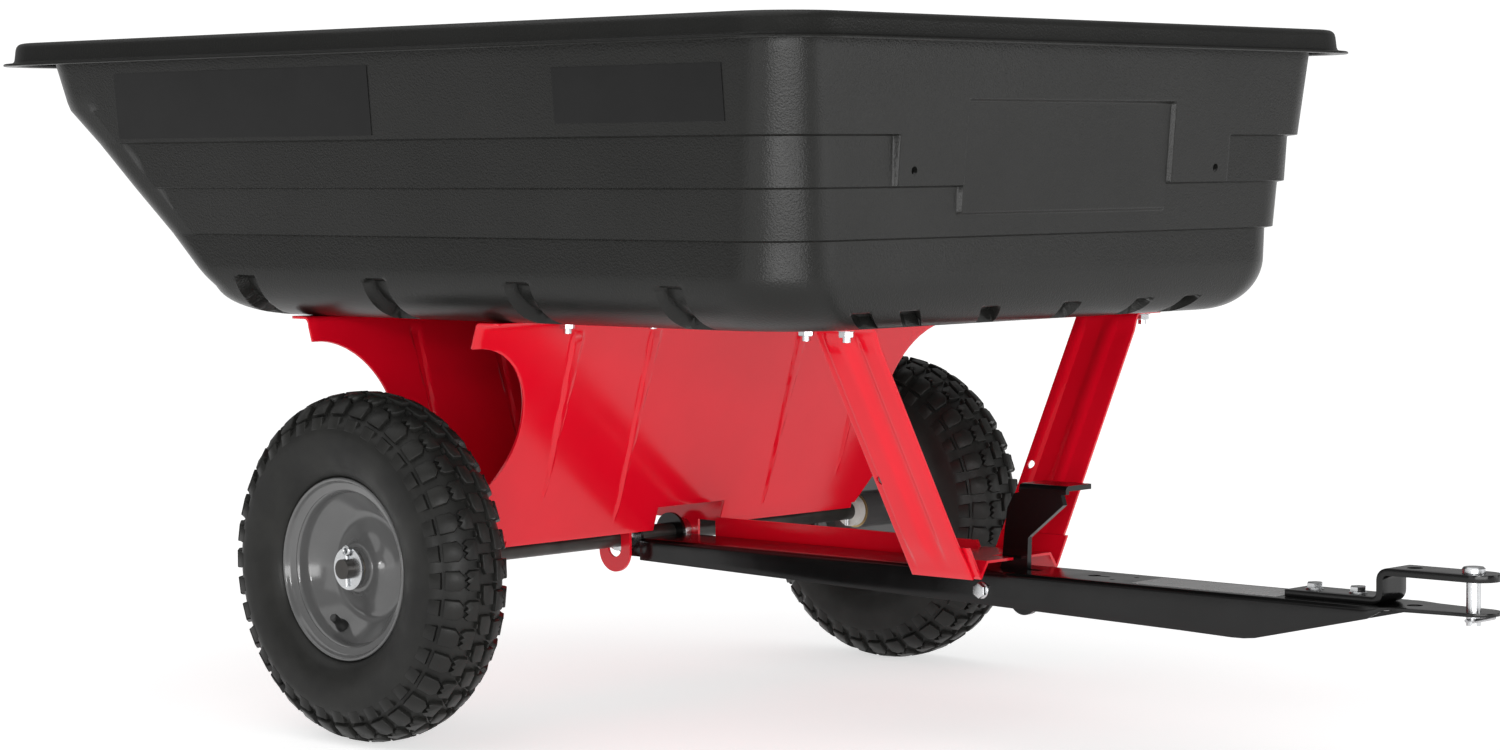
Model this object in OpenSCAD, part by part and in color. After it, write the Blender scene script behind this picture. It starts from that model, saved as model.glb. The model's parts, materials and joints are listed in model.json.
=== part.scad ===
// Tow-behind dump cart: a moulded tub on a pressed steel saddle that tips about the axle,
// a channel tongue with a clevis hitch, a foot latch and two pneumatic wheels.
// +X points forward to the hitch, +Y to the cart's left, +Z up. The ground is z = 0.
// Pieces are drawn about the axle and moved as one, so that the origin is the ground
// point under the middle of the cart.

/* [Wheels] */
// Outside diameter of the tyre
tyre_d = 338; // [320:1:345]
// Width of the tyre across its sidewalls
tyre_w = 92; // [84:1:94]
// Distance between the middle planes of the two wheels
track = 770; // [764:1:780]
// Radius of the rim's outer flange
rim_flange_r = 88; // [87:0.5:89]
// Distance from the wheel's middle plane to the face of the rim flange
rim_half_w = 35; // [34.5:0.5:35.5]
// Diameter of the axle
axle_d = 19.05; // [18:0.05:20]
// Radial running clearance between the axle and what turns on it
axle_clear = 0.075; // [0.03:0.005:0.09]

/* [Tub] */
// Height of the tub's rim above the ground
tub_top_z = 682.7; // [675:0.1:690]
// Height of the tub's flat underside above the ground
tub_bottom_z = 405; // [400:1:408]
// Distance from the axle to the front edge of the rim lip
tub_front = 600; // [590:1:610]
// Distance from the axle to the rear edge of the rim lip
tub_rear = 552; // [545:1:560]
// Half the width of the tub over its rim lip
tub_half_w = 440.7; // [436:0.1:446]
// Thickness of the moulded wall
tub_wall = 4; // [3:0.5:5]
// How far the lip at the foot of the rim's skirt stands out
lip_w = 10.3; // [8:0.1:12]
// Rise of the rear wall's slant from the level, in degrees
rear_rise = 42.3; // [40:0.1:46]

/* [Saddle] */
// Thickness of the pressed steel sheet
sheet = 2.5; // [2:0.1:3]
// Lean of the front and rear walls from upright, in degrees
saddle_lean = 17.7; // [16:0.1:19]
// Height of the saddle walls' lower edges above the ground
saddle_z = 180; // [179.5:0.5:184]
// Distance from the axle to the outside of each wall at its lower edge
saddle_foot_x = 53; // [50:1:56]
// Half the width of the saddle under the tub
saddle_half_w = 355; // [345:1:360]
// Radius of the cut-out beside each wheel
arch_r = 78; // [76:1:82]

/* [Braces] */
// Distance from the axle to the rear edge of the front braces
brace_x = 408; // [404:1:412]
// Width of each brace
brace_w = 74.5; // [70:0.5:78]
// Lean of the braces from upright, in degrees
brace_lean = 30.1; // [29:0.1:31]
// Distance of each brace's foot from the middle of the cart
brace_foot_y = 60; // [58:1:64]

/* [Tongue] */
// Half the width of the tongue
tongue_half_w = 36; // [34:1:37]
// Height of the tongue's top above the ground
tongue_z = 168.5; // [167:0.5:170]
// Thickness of the tongue's steel
tongue_t = 3; // [2.5:0.5:3.5]
// Distance from the axle to the round tip of the hitch
hitch_reach = 1008; // [990:1:1020]
// Diameter of the hitch pin
pin_d = 12.7; // [12:0.1:13]
// Thickness of the upper hitch strap
strap_t = 6.3; // [6:0.1:7]
// Width of the upper hitch strap
strap_w = 38; // [36:1:40]
// Clear height between the two hitch plates
clevis_gap = 26.2; // [24:0.1:30]

/* [Latch] */
// Thickness of the foot lever
lever_t = 6; // [5:0.5:7]
// Height of the top of the pedal's tread above the ground
pedal_z = 250; // [246:0.5:254]
// How far the pedal reaches across the cart from the lever
pedal_w = 39; // [30:1:45]

/* [Hidden] */
$fn = 64;

BLACK_STEEL = "#17181a";
DARK_STEEL = "#3c3936";
RED_STEEL = "#c8101c";
TUB_GREY = "#3a3b3a";
RIM_GREY = "#5c5e60";
RUBBER = "#1b1c1d";
ZINC = "#c9ccd0";
BRONZE = "#8b7a4a";
NYLON = "#e8e8e4";

// Where the main lines lie, measured from the axle
axle_z = tyre_d / 2;
axle_r = axle_d / 2;
bore_r = axle_r + axle_clear;
wheel_y = track / 2;
axle_end_y = wheel_y + rim_half_w;
axle_x = (tub_rear - hitch_reach) / 2;
// Longer than anything it is cut through
far = 1000;

module in_place() { translate([axle_x, 0, 0]) children(); }
module on_side(side) {
    if (side == "left") children();
    else mirror([0, 1, 0]) children();
}
module both_sides() {
    children();
    mirror([0, 1, 0]) children();
}
// A round bar that runs along +Y or +X from the point p
module bar_y(p, r, len) { translate(p) rotate([-90, 0, 0]) cylinder(r = r, h = len); }
module bar_x(p, r, len) { translate(p) rotate([0, 90, 0]) cylinder(r = r, h = len); }
// A slab along Y from y0, whose outline is given in X and Z
module slab_xz(y0, t) { translate([0, y0 + t, 0]) rotate([90, 0, 0]) linear_extrude(t) children(); }
// A slab along X from x0, whose outline is given in Y and Z
module slab_yz(x0, t) { translate([x0, 0, 0]) rotate([90, 0, 90]) linear_extrude(t) children(); }
// A hexagon, measured across its flats
module hex(af, h) { cylinder(r = af / sqrt(3), h = h, $fn = 6); }
module ring(r, hole, h) {
    difference() {
        cylinder(r = r, h = h);
        translate([0, 0, -1]) cylinder(r = hole, h = h + 2);
    }
}
// A round wire swept along a path, with one ring of points per path point
module wire(path, r, sides = 8) {
    n = len(path);
    function way(i) = let (d = path[min(i + 1, n - 1)] - path[max(i - 1, 0)]) d / norm(d);
    function across(i) = let (c = cross(way(i), [0.1, 1, 0.2])) c / norm(c);
    points = [for (i = [0 : n - 1]) for (k = [0 : sides - 1])
        let (u = across(i), v = cross(way(i), u), a = 360 * k / sides)
        path[i] + r * (cos(a) * u + sin(a) * v)];
    walls = [for (i = [0 : n - 2]) for (k = [0 : sides - 1])
        let (j = (k + 1) % sides)
        [i * sides + k, i * sides + j, (i + 1) * sides + j, (i + 1) * sides + k]];
    start = [for (k = [sides - 1 : -1 : 0]) k];
    end = [for (k = [0 : sides - 1]) (n - 1) * sides + k];
    polyhedron(points, concat([start, end], walls));
}

// ---------- Wheels ----------

bead_r = 76.2;
seat_r = bead_r - 0.2;
rim_t = 2.5;
disc_y = -4;
disc_r = 52;
tyre_skin = 8;
tyre_mid_r = (axle_z + bead_r) / 2;
tyre_half_h = (axle_z - bead_r) / 2;
hub_r = 20;
hub_bore_r = 15;
hub_in = wheel_y - 61.5;
hub_out = wheel_y + 22.5;
bearing_len = 20;
bearing_flange = 0.8;

// A soft-cornered oval: radius from the axle, then distance from the middle plane
function oval(a, inset) = let (half_w = tyre_w / 2 - inset, half_h = tyre_half_h - inset)
    [tyre_mid_r + half_h * sign(sin(a)) * pow(abs(sin(a)), 0.85),
     half_w * sign(cos(a)) * pow(abs(cos(a)), 0.85)];
// The same outline on the other side of the middle plane, run backwards
function flip(points) = [for (i = [len(points) - 1 : -1 : 0]) [points[i][0], -points[i][1]]];

// Turns an outline of radius and side distance about the axle, with +Y outward
module turned(y = wheel_y) {
    translate([0, y, axle_z]) rotate([-90, 0, 0]) rotate_extrude($fn = 96) children();
}

module tyre(side) {
    bead = [[rim_flange_r + 0.6, rim_half_w - 2.6], [rim_flange_r - 2, rim_half_w - 5.7],
        [bead_r + 0.8, rim_half_w - 7.1], [bead_r + 0.2, rim_half_w - 7.6],
        [bead_r + 0.2, rim_half_w - 20], [bead_r + 3, rim_half_w - 21],
        [bead_r + 10, rim_half_w - 14]];
    outer = [for (a = [90 : -8 : -38]) oval(a, 0)];
    inner = [for (a = [-30 : 10 : 90]) oval(a, tyre_skin)];
    half = concat(outer, bead, inner);
    back = flip([for (i = [1 : len(half) - 2]) half[i]]);
    color(RUBBER) in_place() on_side(side) turned() polygon(concat(half, back));
}

module tube(side) {
    skin = 2.5;
    gap = tyre_skin + 1;
    color("#2b2b2c") in_place() on_side(side) difference() {
        turned() polygon([for (a = [0 : 15 : 345]) oval(a, gap)]);
        turned() polygon([for (a = [0 : 15 : 345]) oval(a, gap + skin)]);
    }
}

// One pressed half of the rim: disc, cone, bead seat and curled flange
function rim_half(cone_r, cone_y, side_y) = [
    [hub_r, disc_y], [cone_r, disc_y], [seat_r, cone_y], [bead_r, side_y - 7],
    [rim_flange_r - 3, side_y - 5.4], [rim_flange_r, side_y - 3], [rim_flange_r, side_y - 1],
    [rim_flange_r - 1.5, side_y], [rim_flange_r - 3.5, side_y - 0.5],
    [rim_flange_r - 4, side_y - 2.7], [seat_r - rim_t, side_y - 4.7]];

// The outer half's middle rises again as a flared cone round the hub
hub_cone = [[hub_r, 17], [hub_r + 2.4, 17], [24.6, 12.2], [28.6, 7.2], [34, 3.2], [40, 0.4]];
module rim_outer(side) {
    skin = rim_half(disc_r, 14, rim_half_w);
    under = [for (i = [len(hub_cone) - 1 : -1 : 1]) hub_cone[i] - [1.4, rim_t]];
    back = concat([[disc_r, disc_y], [44, disc_y]], under, [[hub_r, hub_cone[1][1] - 2 * rim_t]]);
    outline = concat(hub_cone, [[disc_r - 1.4, disc_y + rim_t], [seat_r - rim_t, 15.2]],
        [for (i = [len(skin) - 1 : -1 : 2]) skin[i]], back);
    color(RIM_GREY) in_place() on_side(side) difference() {
        turned() polygon(outline);
        at_valve() cylinder(r = valve_r + 0.2, h = 30, center = true);
    }
}

module rim_inner(side) {
    skin = [for (p = rim_half(disc_r + 2, 14, rim_half_w)) [p[0], p[1] > 0 ? -p[1] : p[1]]];
    outline = concat(skin, [[seat_r - rim_t, -15.9], [disc_r + 0.8, disc_y - rim_t],
        [hub_r, disc_y - rim_t]]);
    color(RIM_GREY) in_place() on_side(side) turned() polygon(outline);
}

module hub(side) {
    color(RIM_GREY) in_place() on_side(side) turned(0)
        polygon([[hub_bore_r, hub_in], [hub_r, hub_in], [hub_r, hub_out], [hub_bore_r, hub_out]]);
}

// Two flanged sleeves, pressed in from either end of the hub
module bearings(side) {
    color(BRONZE) in_place() on_side(side) {
        turned(0) polygon([[bore_r, hub_in - bearing_flange], [hub_r - 1, hub_in - bearing_flange],
            [hub_r - 1, hub_in], [hub_bore_r, hub_in],
            [hub_bore_r, hub_in + bearing_len], [bore_r, hub_in + bearing_len]]);
        turned(0) polygon([[bore_r, hub_out - bearing_len], [hub_bore_r, hub_out - bearing_len],
            [hub_bore_r, hub_out], [hub_r - 1, hub_out],
            [hub_r - 1, hub_out + bearing_flange], [bore_r, hub_out + bearing_flange]]);
    }
}

// The valve stands square on the rim's cone, near the foot of the wheel
valve_r = 5;
valve_turn = 116;
valve_seat = [66, 9.7];
cone_tilt = 126.3;
stem_len = 17;
module at_valve() {
    translate([0, wheel_y, axle_z]) rotate([0, valve_turn, 0])
        translate([valve_seat[0], valve_seat[1], 0]) rotate([0, 90, cone_tilt]) children();
}
module valve_stem(side) {
    color(RUBBER) in_place() on_side(side) at_valve() rotate_extrude()
        polygon([[0, -6], [valve_r + 2.5, -6], [valve_r + 2.5, -rim_t - 0.3], [valve_r, -rim_t - 0.3],
            [valve_r, 0.5], [valve_r + 1.2, 0.5], [valve_r + 1, 3], [valve_r - 1, 10],
            [valve_r - 1, 14], [valve_r - 1.8, 14], [valve_r - 1.8, stem_len], [0, stem_len]]);
}
module valve_cap(side) {
    color("#101112") in_place() on_side(side) at_valve() translate([0, 0, 14])
        rotate_extrude() polygon([[valve_r - 1.8, 0], [valve_r - 1, 0], [valve_r - 1, 5],
            [valve_r - 2, 7], [0, 7], [0, stem_len - 14], [valve_r - 1.8, stem_len - 14]]);
}

module tyre_right() { tyre("right"); }
module tyre_left() { tyre("left"); }
module tube_right() { tube("right"); }
module tube_left() { tube("left"); }
module rim_outer_right() { rim_outer("right"); }
module rim_outer_left() { rim_outer("left"); }
module rim_inner_right() { rim_inner("right"); }
module rim_inner_left() { rim_inner("left"); }
module hub_right() { hub("right"); }
module hub_left() { hub("left"); }
module bearings_right() { bearings("right"); }
module bearings_left() { bearings("left"); }
module valve_stem_right() { valve_stem("right"); }
module valve_stem_left() { valve_stem("left"); }
module valve_cap_right() { valve_cap("right"); }
module valve_cap_left() { valve_cap("left"); }

// ---------- Axle ----------

spacer_out = hub_in - bearing_flange - 0.6;
spacer_len = 9;
spacer_r = 17;
roll_pin_r = 2.5;
roll_pin_y = spacer_out - spacer_len - roll_pin_r;
washer_in = hub_out + bearing_flange + 0.7;
washer_t = 3;
cotter_r = 2;
cotter_y = washer_in + washer_t + cotter_r;
sleeve_in = tongue_half_w - tongue_t;
sleeve_out = 48.8;

module axle() {
    color(DARK_STEEL) in_place() difference() {
        bar_y([0, -axle_end_y, axle_z], axle_r, 2 * axle_end_y);
        both_sides() translate([0, roll_pin_y, 0]) cylinder(r = roll_pin_r, h = 2 * axle_z);
        both_sides() translate([0, cotter_y, 0]) cylinder(r = cotter_r, h = 2 * axle_z);
    }
}
module axle_sleeves() {
    color(ZINC) in_place() both_sides()
        translate([0, sleeve_in, axle_z]) rotate([-90, 0, 0])
            ring(axle_r + 4, bore_r, sleeve_out - sleeve_in);
}
module axle_spacers() {
    color(NYLON) in_place() both_sides()
        translate([0, spacer_out - spacer_len, axle_z]) rotate([-90, 0, 0])
            ring(spacer_r, bore_r, spacer_len);
}
module roll_pins() {
    color(ZINC) in_place() both_sides()
        translate([0, roll_pin_y, axle_z - 16]) cylinder(r = roll_pin_r, h = 32);
}
module axle_washers() {
    color(ZINC) in_place() both_sides()
        translate([0, washer_in, axle_z]) rotate([-90, 0, 0]) ring(hub_r + 0.5, bore_r, washer_t);
}
module axle_cotters() {
    color(ZINC) in_place() both_sides() {
        translate([0, cotter_y, axle_z - 17]) cylinder(r = cotter_r, h = 31);
        translate([0, cotter_y, axle_z + 14 + 3.5]) rotate([90, 0, 0])
            rotate_extrude() translate([4, 0]) circle(r = 1.6);
    }
}

// ---------- Tongue ----------

tongue_rear_x = 20.5;
narrow_x = 905;
tip_r = 20;
tip_x = hitch_reach - tip_r;
taper_x = 764;
slot_x0 = 466;
slot_x1 = 516;
slot_half_w = 5;
latch_x = 473.3;
latch_z = 150;
latch_bolt_r = 4;
fit = 0.06;
hitch_bolt_x = [823, 868];
hitch_bolt_r = 4;
spare_hole_x = 925.7;
spare_hole_r = 7;
pin_x = 984;
pin_r = pin_d / 2;
keyhole_x = 579;
drain_holes = [[611, -15], [619, 12]];

module tongue() {
    w = tongue_half_w;
    flange = [[tongue_rear_x, tongue_z], [tongue_rear_x, tongue_z - 22.5],
        [taper_x - 44, tongue_z - 37.5], [taper_x, tongue_z - 39],
        [narrow_x - 5, tongue_z - 9.5], [narrow_x - 5, tongue_z]];
    color(BLACK_STEEL) in_place() difference() {
        union() {
            translate([0, 0, tongue_z - tongue_t]) linear_extrude(tongue_t)
                polygon([[tongue_rear_x, -w], [narrow_x - 5, -w], [narrow_x + 30, 5 - tip_r - 10],
                    [tip_x - 8, -tip_r], [tip_x, -tip_r], [tip_x, tip_r], [tip_x - 8, tip_r],
                    [narrow_x + 30, tip_r + 5], [narrow_x - 5, w], [tongue_rear_x, w]]);
            translate([tip_x, 0, tongue_z - tongue_t]) cylinder(r = tip_r, h = tongue_t);
            both_sides() slab_xz(w - tongue_t, tongue_t) polygon(flange);
        }
        translate([slot_x0, -slot_half_w, tongue_z - 10])
            cube([slot_x1 - slot_x0, 2 * slot_half_w, 20]);
        bar_y([latch_x, -w - 1, latch_z], latch_bolt_r + fit, 2 * w + 2);
        for (x = hitch_bolt_x) translate([x, 0, tongue_z - 10]) cylinder(r = hitch_bolt_r + fit, h = 20);
        translate([spare_hole_x, 0, tongue_z - 10]) cylinder(r = spare_hole_r, h = 20);
        translate([pin_x, 0, tongue_z - 10]) cylinder(r = pin_r + fit, h = 20);
        keyhole();
        for (p = drain_holes) translate([p[0], p[1], tongue_z - 10]) cylinder(r = 2.5, h = 20);
    }
}
// A hanging hole with a narrow tail
module keyhole() {
    translate([keyhole_x, 0, tongue_z - 10]) cylinder(r = 6, h = 20);
    translate([keyhole_x, -2, tongue_z - 10]) cube([18, 4, 20]);
}

// Welded inside the tongue's rear end: two cheeks that turn on the axle, and a web
module tongue_yoke() {
    cheek_t = 3.5;
    y_in = sleeve_in - cheek_t;
    reach = 90;
    color(BLACK_STEEL) in_place() difference() {
        union() {
            both_sides() {
                bar_y([0, y_in, axle_z], 20, cheek_t);
                slab_xz(y_in, cheek_t) polygon([[0, axle_z - 20], [reach, axle_z - 20],
                    [reach, tongue_z - tongue_t], [0, tongue_z - tongue_t]]);
            }
            translate([32, -y_in - 1, tongue_z - 2 * tongue_t])
                cube([reach - 32, 2 * y_in + 2, tongue_t]);
        }
        bar_y([0, -sleeve_in - 1, axle_z], bore_r, 2 * sleeve_in + 2);
    }
}

// ---------- Hitch ----------

strap_x0 = 804;
riser_x = 905;
upper_z = tongue_z + clevis_gap;
strap_top = upper_z + strap_t;
strap_tip_x = hitch_reach - strap_w / 2;
bend = 3;

module hitch_strap() {
    side_view = [
        [strap_x0, tongue_z], [riser_x - bend, tongue_z], [riser_x, tongue_z + bend],
        [riser_x, upper_z], [strap_tip_x, upper_z], [strap_tip_x, strap_top],
        [riser_x - strap_t + bend, strap_top], [riser_x - strap_t, strap_top - bend],
        [riser_x - strap_t, tongue_z + strap_t], [strap_x0, tongue_z + strap_t]];
    color(BLACK_STEEL) in_place() difference() {
        union() {
            slab_xz(-strap_w / 2, strap_w) polygon(side_view);
            translate([strap_tip_x, 0, upper_z]) cylinder(r = strap_w / 2, h = strap_t);
        }
        for (x = hitch_bolt_x) translate([x, 0, tongue_z - 1]) cylinder(r = hitch_bolt_r + fit, h = 20);
        translate([spare_hole_x, 0, upper_z - 1]) cylinder(r = spare_hole_r, h = 20);
        translate([pin_x, 0, upper_z - 1]) cylinder(r = pin_r + fit, h = 20);
    }
}
module hitch_bolts() {
    length = strap_t + tongue_t + 12;
    color(ZINC) in_place() for (x = hitch_bolt_x) {
        translate([x, 0, tongue_z + strap_t]) hex(13, 5.3);
        translate([x, 0, tongue_z + strap_t - length]) cylinder(r = hitch_bolt_r, h = length);
    }
}
module hitch_nuts() {
    color(ZINC) in_place() for (x = hitch_bolt_x)
        translate([x, 0, tongue_z - tongue_t - 6.5]) difference() {
            hex(13, 6.5);
            translate([0, 0, -1]) cylinder(r = hitch_bolt_r, h = 10);
        }
}

pin_play = 0.4;
pin_bottom = 156;
clip_z = pin_bottom + 5;
clip_r = 1.5;
clip_out = pin_r + clip_r + 0.35;

module hitch_pin() {
    color(ZINC) in_place() difference() {
        union() {
            translate([pin_x, 0, pin_bottom]) cylinder(r = pin_r, h = strap_top + 1 - pin_bottom);
            translate([pin_x, 0, strap_top + pin_play]) rotate_extrude()
                polygon([[0, 0], [10, 0], [10, 3.5], [8.5, 5], [0, 5]]);
        }
        bar_y([pin_x, -far / 2, clip_z], clip_r + fit, far);
    }
}
// One leg through the pin, a round eye beyond it and one leg back along the pin's side
module hitch_clip() {
    eye_y = 19;
    color(ZINC) in_place() union() {
        bar_y([pin_x, -12, clip_z], clip_r, eye_y + 12);
        bar_y([pin_x + clip_out, -14, clip_z], clip_r, eye_y + 14);
        translate([pin_x + clip_out / 2, eye_y, clip_z])
            rotate_extrude(angle = 180) translate([clip_out / 2, 0]) circle(r = clip_r, $fn = 24);
    }
}

// ---------- Latch ----------

lever_gap = 0.4;
pedal_x0 = 492;
pedal_x1 = 548;
pedal_foot_z = pedal_z - 8;
coil_r = 9;
coil_wire = 1;
coil_turns = 5;
coil_y0 = 11;
coil_pitch = 2.6;

module latch_bolt() {
    head = 5.3;
    color(ZINC) in_place() {
        bar_y([latch_x, -tongue_half_w, latch_z], latch_bolt_r, 2 * tongue_half_w + 10);
        translate([latch_x, -tongue_half_w, latch_z]) rotate([90, 0, 0]) hex(13, head);
    }
}
module latch_nut() {
    color(ZINC) in_place() translate([latch_x, tongue_half_w, latch_z]) rotate([-90, 0, 0])
        difference() {
            hex(13, 6.5);
            translate([0, 0, -1]) cylinder(r = latch_bolt_r, h = 10);
        }
}
module latch_bushings() {
    y0 = lever_t / 2 + lever_gap;
    color(ZINC) in_place() both_sides()
        translate([latch_x, y0, latch_z]) rotate([-90, 0, 0])
            ring(6.5, latch_bolt_r + fit, sleeve_in - y0);
}
// A coil round the bolt, with one end held under the tongue's top
module latch_spring() {
    steps = 20;
    function turn(i) = let (a = 360 * i / steps)
        [latch_x + coil_r * cos(a), coil_y0 + coil_pitch * i / steps, latch_z + coil_r * sin(a)];
    last = turn(coil_turns * steps);
    rise = tongue_z - tongue_t - latch_z;
    leg = [for (z = [rise / 5 : rise / 5 : rise]) last + [0, coil_wire / 4, z]];
    coil = [for (i = [0 : coil_turns * steps]) turn(i)];
    color("#8f9294") in_place() wire(concat(coil, leg), coil_wire);
}
module latch_lever() {
    plate = [[latch_x + 2, latch_z - 12], [latch_x + 26, latch_z - 8], [502, 172], [503, 199],
        [pedal_x1 - 3, 232], [pedal_x1 - 6, pedal_foot_z], [pedal_x0 + 1, pedal_foot_z], [486, 240],
        [478, 226], [474, 200], [471, 173], [latch_x - 9, latch_z + 8], [latch_x - 9, latch_z - 6]];
    color(BLACK_STEEL) in_place() difference() {
        union() {
            slab_xz(-lever_t / 2, lever_t) polygon(plate);
            bar_y([latch_x, -lever_t / 2, latch_z], 12, lever_t);
            bar_y([497, -lever_t / 2, 142], 17, lever_t);
        }
        bar_y([latch_x, -lever_t, latch_z], latch_bolt_r + fit, 2 * lever_t);
    }
}
// The tread: the lever's top bent over across the cart, with teeth along its far edge
module latch_pedal() {
    t = lever_t - 1;
    y0 = -lever_t / 2;
    teeth = 8;
    pitch = (pedal_x1 - pedal_x0) / teeth;
    outside = [for (a = [0 : 15 : 90]) [y0 + t - t * cos(a), pedal_z - t + t * sin(a)]];
    color(BLACK_STEEL) in_place() difference() {
        slab_yz(pedal_x0, pedal_x1 - pedal_x0) polygon(concat([[y0, pedal_foot_z]], outside,
            [[y0 + pedal_w, pedal_z], [y0 + pedal_w, pedal_z - t], [y0 + t, pedal_z - t],
             [y0 + t, pedal_foot_z]]));
        for (i = [1 : teeth - 1]) translate([pedal_x0 + i * pitch, y0 + pedal_w, pedal_z - 10])
            cylinder(r = 1.8, h = 20, $fn = 4);
    }
}

// ---------- Tub ----------

tub_x_slope = 1 / tan(rear_rise);
side_top = tub_half_w - 32.2;
front_top = tub_front - 36.1;
break_z = 612;
break_x = 470;
flat_rear = 215;
flat_front = 506;
flat_side = 324;
curve_z = 485;
side_curve_z = 455;
rear_curve_z = 433;
front_curve_z = 455;
lip_z = tub_top_z - 24;
corner_steps = 6;

// Moulded ledges: height, then how far the wall has stepped in there
ledges = [[lip_z, 0], [579, 7.2], [576, 13.5], [533, 15.5], [530.5, 19.8], [487, 22.6], [curve_z, 27.7]];
low_rings = [side_curve_z, 444, rear_curve_z, 421, 412, 407, tub_bottom_z];

// Distance from the axle to the rear wall's outside at height z
function slant_x(z) = break_x - (break_z - z) * tub_x_slope;
function rear_x(z) =
    z >= break_z ? break_x + (z - break_z) * 0.36 :
    z >= rear_curve_z ? slant_x(z) :
    flat_rear + (slant_x(rear_curve_z) - flat_rear)
        * sqrt(1 - pow((rear_curve_z - z) / (rear_curve_z - tub_bottom_z), 2));
function front_x(z) = z >= front_curve_z ? front_top - 27.7 :
    flat_front + (front_top - 27.7 - flat_front)
        * sqrt(1 - pow((front_curve_z - z) / (front_curve_z - tub_bottom_z), 2));
function side_y(z) = z >= side_curve_z ? side_top - 27.7 :
    flat_side + (side_top - 27.7 - flat_side)
        * sqrt(1 - pow((side_curve_z - z) / (side_curve_z - tub_bottom_z), 2));

// A section: height, rear, front, half width, corner radius
function wall_section(z, inset, t, lift) =
    [z + lift, t * 1.35 - rear_x(z), front_top - inset - t, side_top - inset - t, 51 + inset - t / 2];
function low_section(z, t) = let (up = t * pow((curve_z - z) / (curve_z - tub_bottom_z), 3))
    [z + up, t * 1.35 - rear_x(z), front_x(z) - t, side_y(z) - t, 76 - t / 2];
function rim_section(z, out) =
    [z, out - tub_rear, tub_front - out, tub_half_w - out, 73.6 - out * 0.7];
function top_section(z, t) =
    [z, t - rear_x(lip_z) - 6, front_top - t, side_top - t, 51 - t / 2];

function section_points(s) = [for (c = [0 : 3]) for (k = [0 : corner_steps])
    let (a = 90 * c + 90 * k / corner_steps,
        x = c == 0 || c == 3 ? s[2] - s[4] : s[1] + s[4],
        y = c < 2 ? s[3] - s[4] : s[4] - s[3])
    [x + s[4] * cos(a), y + s[4] * sin(a), s[0]]];

tub_sections = concat(
    [for (i = [len(low_rings) - 1 : -1 : 0]) low_section(low_rings[i], 0)],
    [for (i = [len(ledges) - 1 : -1 : 0]) wall_section(ledges[i][0], ledges[i][1], 0, 0)],
    [top_section(tub_top_z - tub_wall - 1, 0), top_section(tub_top_z - tub_wall, -2)],
    [rim_section(tub_top_z - tub_wall, lip_w + tub_wall + 3),
     rim_section(tub_top_z - tub_wall - 3, lip_w + tub_wall),
     rim_section(lip_z, lip_w + tub_wall), rim_section(lip_z, 0),
     rim_section(lip_z + 2.4, 0), rim_section(lip_z + 2.4, lip_w),
     rim_section(tub_top_z - 6, lip_w + 1), rim_section(tub_top_z - 2, lip_w + 2.5),
     rim_section(tub_top_z, lip_w + 6)],
    [top_section(tub_top_z, 0), top_section(tub_top_z - 3, tub_wall)],
    [for (i = [0 : len(ledges) - 1]) wall_section(ledges[i][0], ledges[i][1], tub_wall, tub_wall / 2)],
    [for (i = [0 : len(low_rings) - 1]) low_section(low_rings[i], tub_wall)]);

module tub_skin() {
    per = 4 * (corner_steps + 1);
    n = len(tub_sections);
    points = [for (s = tub_sections) for (p = section_points(s)) p];
    walls = [for (i = [0 : n - 2]) for (k = [0 : per - 1])
        let (j = (k + 1) % per)
        [i * per + j, i * per + k, (i + 1) * per + k, (i + 1) * per + j]];
    underside = [for (k = [0 : per - 1]) k];
    floor = [for (k = [per - 1 : -1 : 0]) (n - 1) * per + k];
    polyhedron(points, concat([underside, floor], walls));
}

tub_bolt_r = 4;
flange_bolt_x = 137;
flange_bolt_y = [133, 250];
brace_bolt_x = [brace_x + 12, brace_x + 61];
brace_bolt_y = 222;
front_hole_y = 227;
front_hole_z = 546;
module at_tub_bolts() {
    both_sides() {
        for (x = [-flange_bolt_x, flange_bolt_x]) for (y = flange_bolt_y) translate([x, y, 0]) children();
        for (x = brace_bolt_x) translate([x, brace_bolt_y, 0]) children();
    }
}
module tub() {
    color(TUB_GREY) in_place() difference() {
        tub_skin();
        at_tub_bolts() translate([0, 0, tub_bottom_z - 5]) cylinder(r = tub_bolt_r + fit, h = 20);
        both_sides() bar_x([front_top - 40, front_hole_y, front_hole_z], 4, 60);
    }
}
floor_z = tub_bottom_z + tub_wall;
tub_washer_t = 1.6;
module tub_washers() {
    color(ZINC) in_place() at_tub_bolts() translate([0, 0, floor_z])
        ring(11, tub_bolt_r + fit, tub_washer_t);
}
module tub_bolts() {
    low = tub_bottom_z - sheet - 11;
    head_z = floor_z + tub_washer_t;
    color(ZINC) in_place() at_tub_bolts() {
        translate([0, 0, low]) cylinder(r = tub_bolt_r, h = head_z - low);
        translate([0, 0, head_z]) rotate_extrude()
            polygon([[0, 0], [8.5, 0], [8, 2], [6, 3.6], [3, 4.5], [0, 4.8]]);
    }
}
module tub_nuts() {
    color(ZINC) in_place() at_tub_bolts() translate([0, 0, tub_bottom_z - sheet - 6.5])
        difference() {
            hex(13, 6.5);
            translate([0, 0, -1]) cylinder(r = tub_bolt_r, h = 10);
        }
}
// Blank plates on the tub's sides, where a maker would put its own
plate_t = 0.8;
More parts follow.
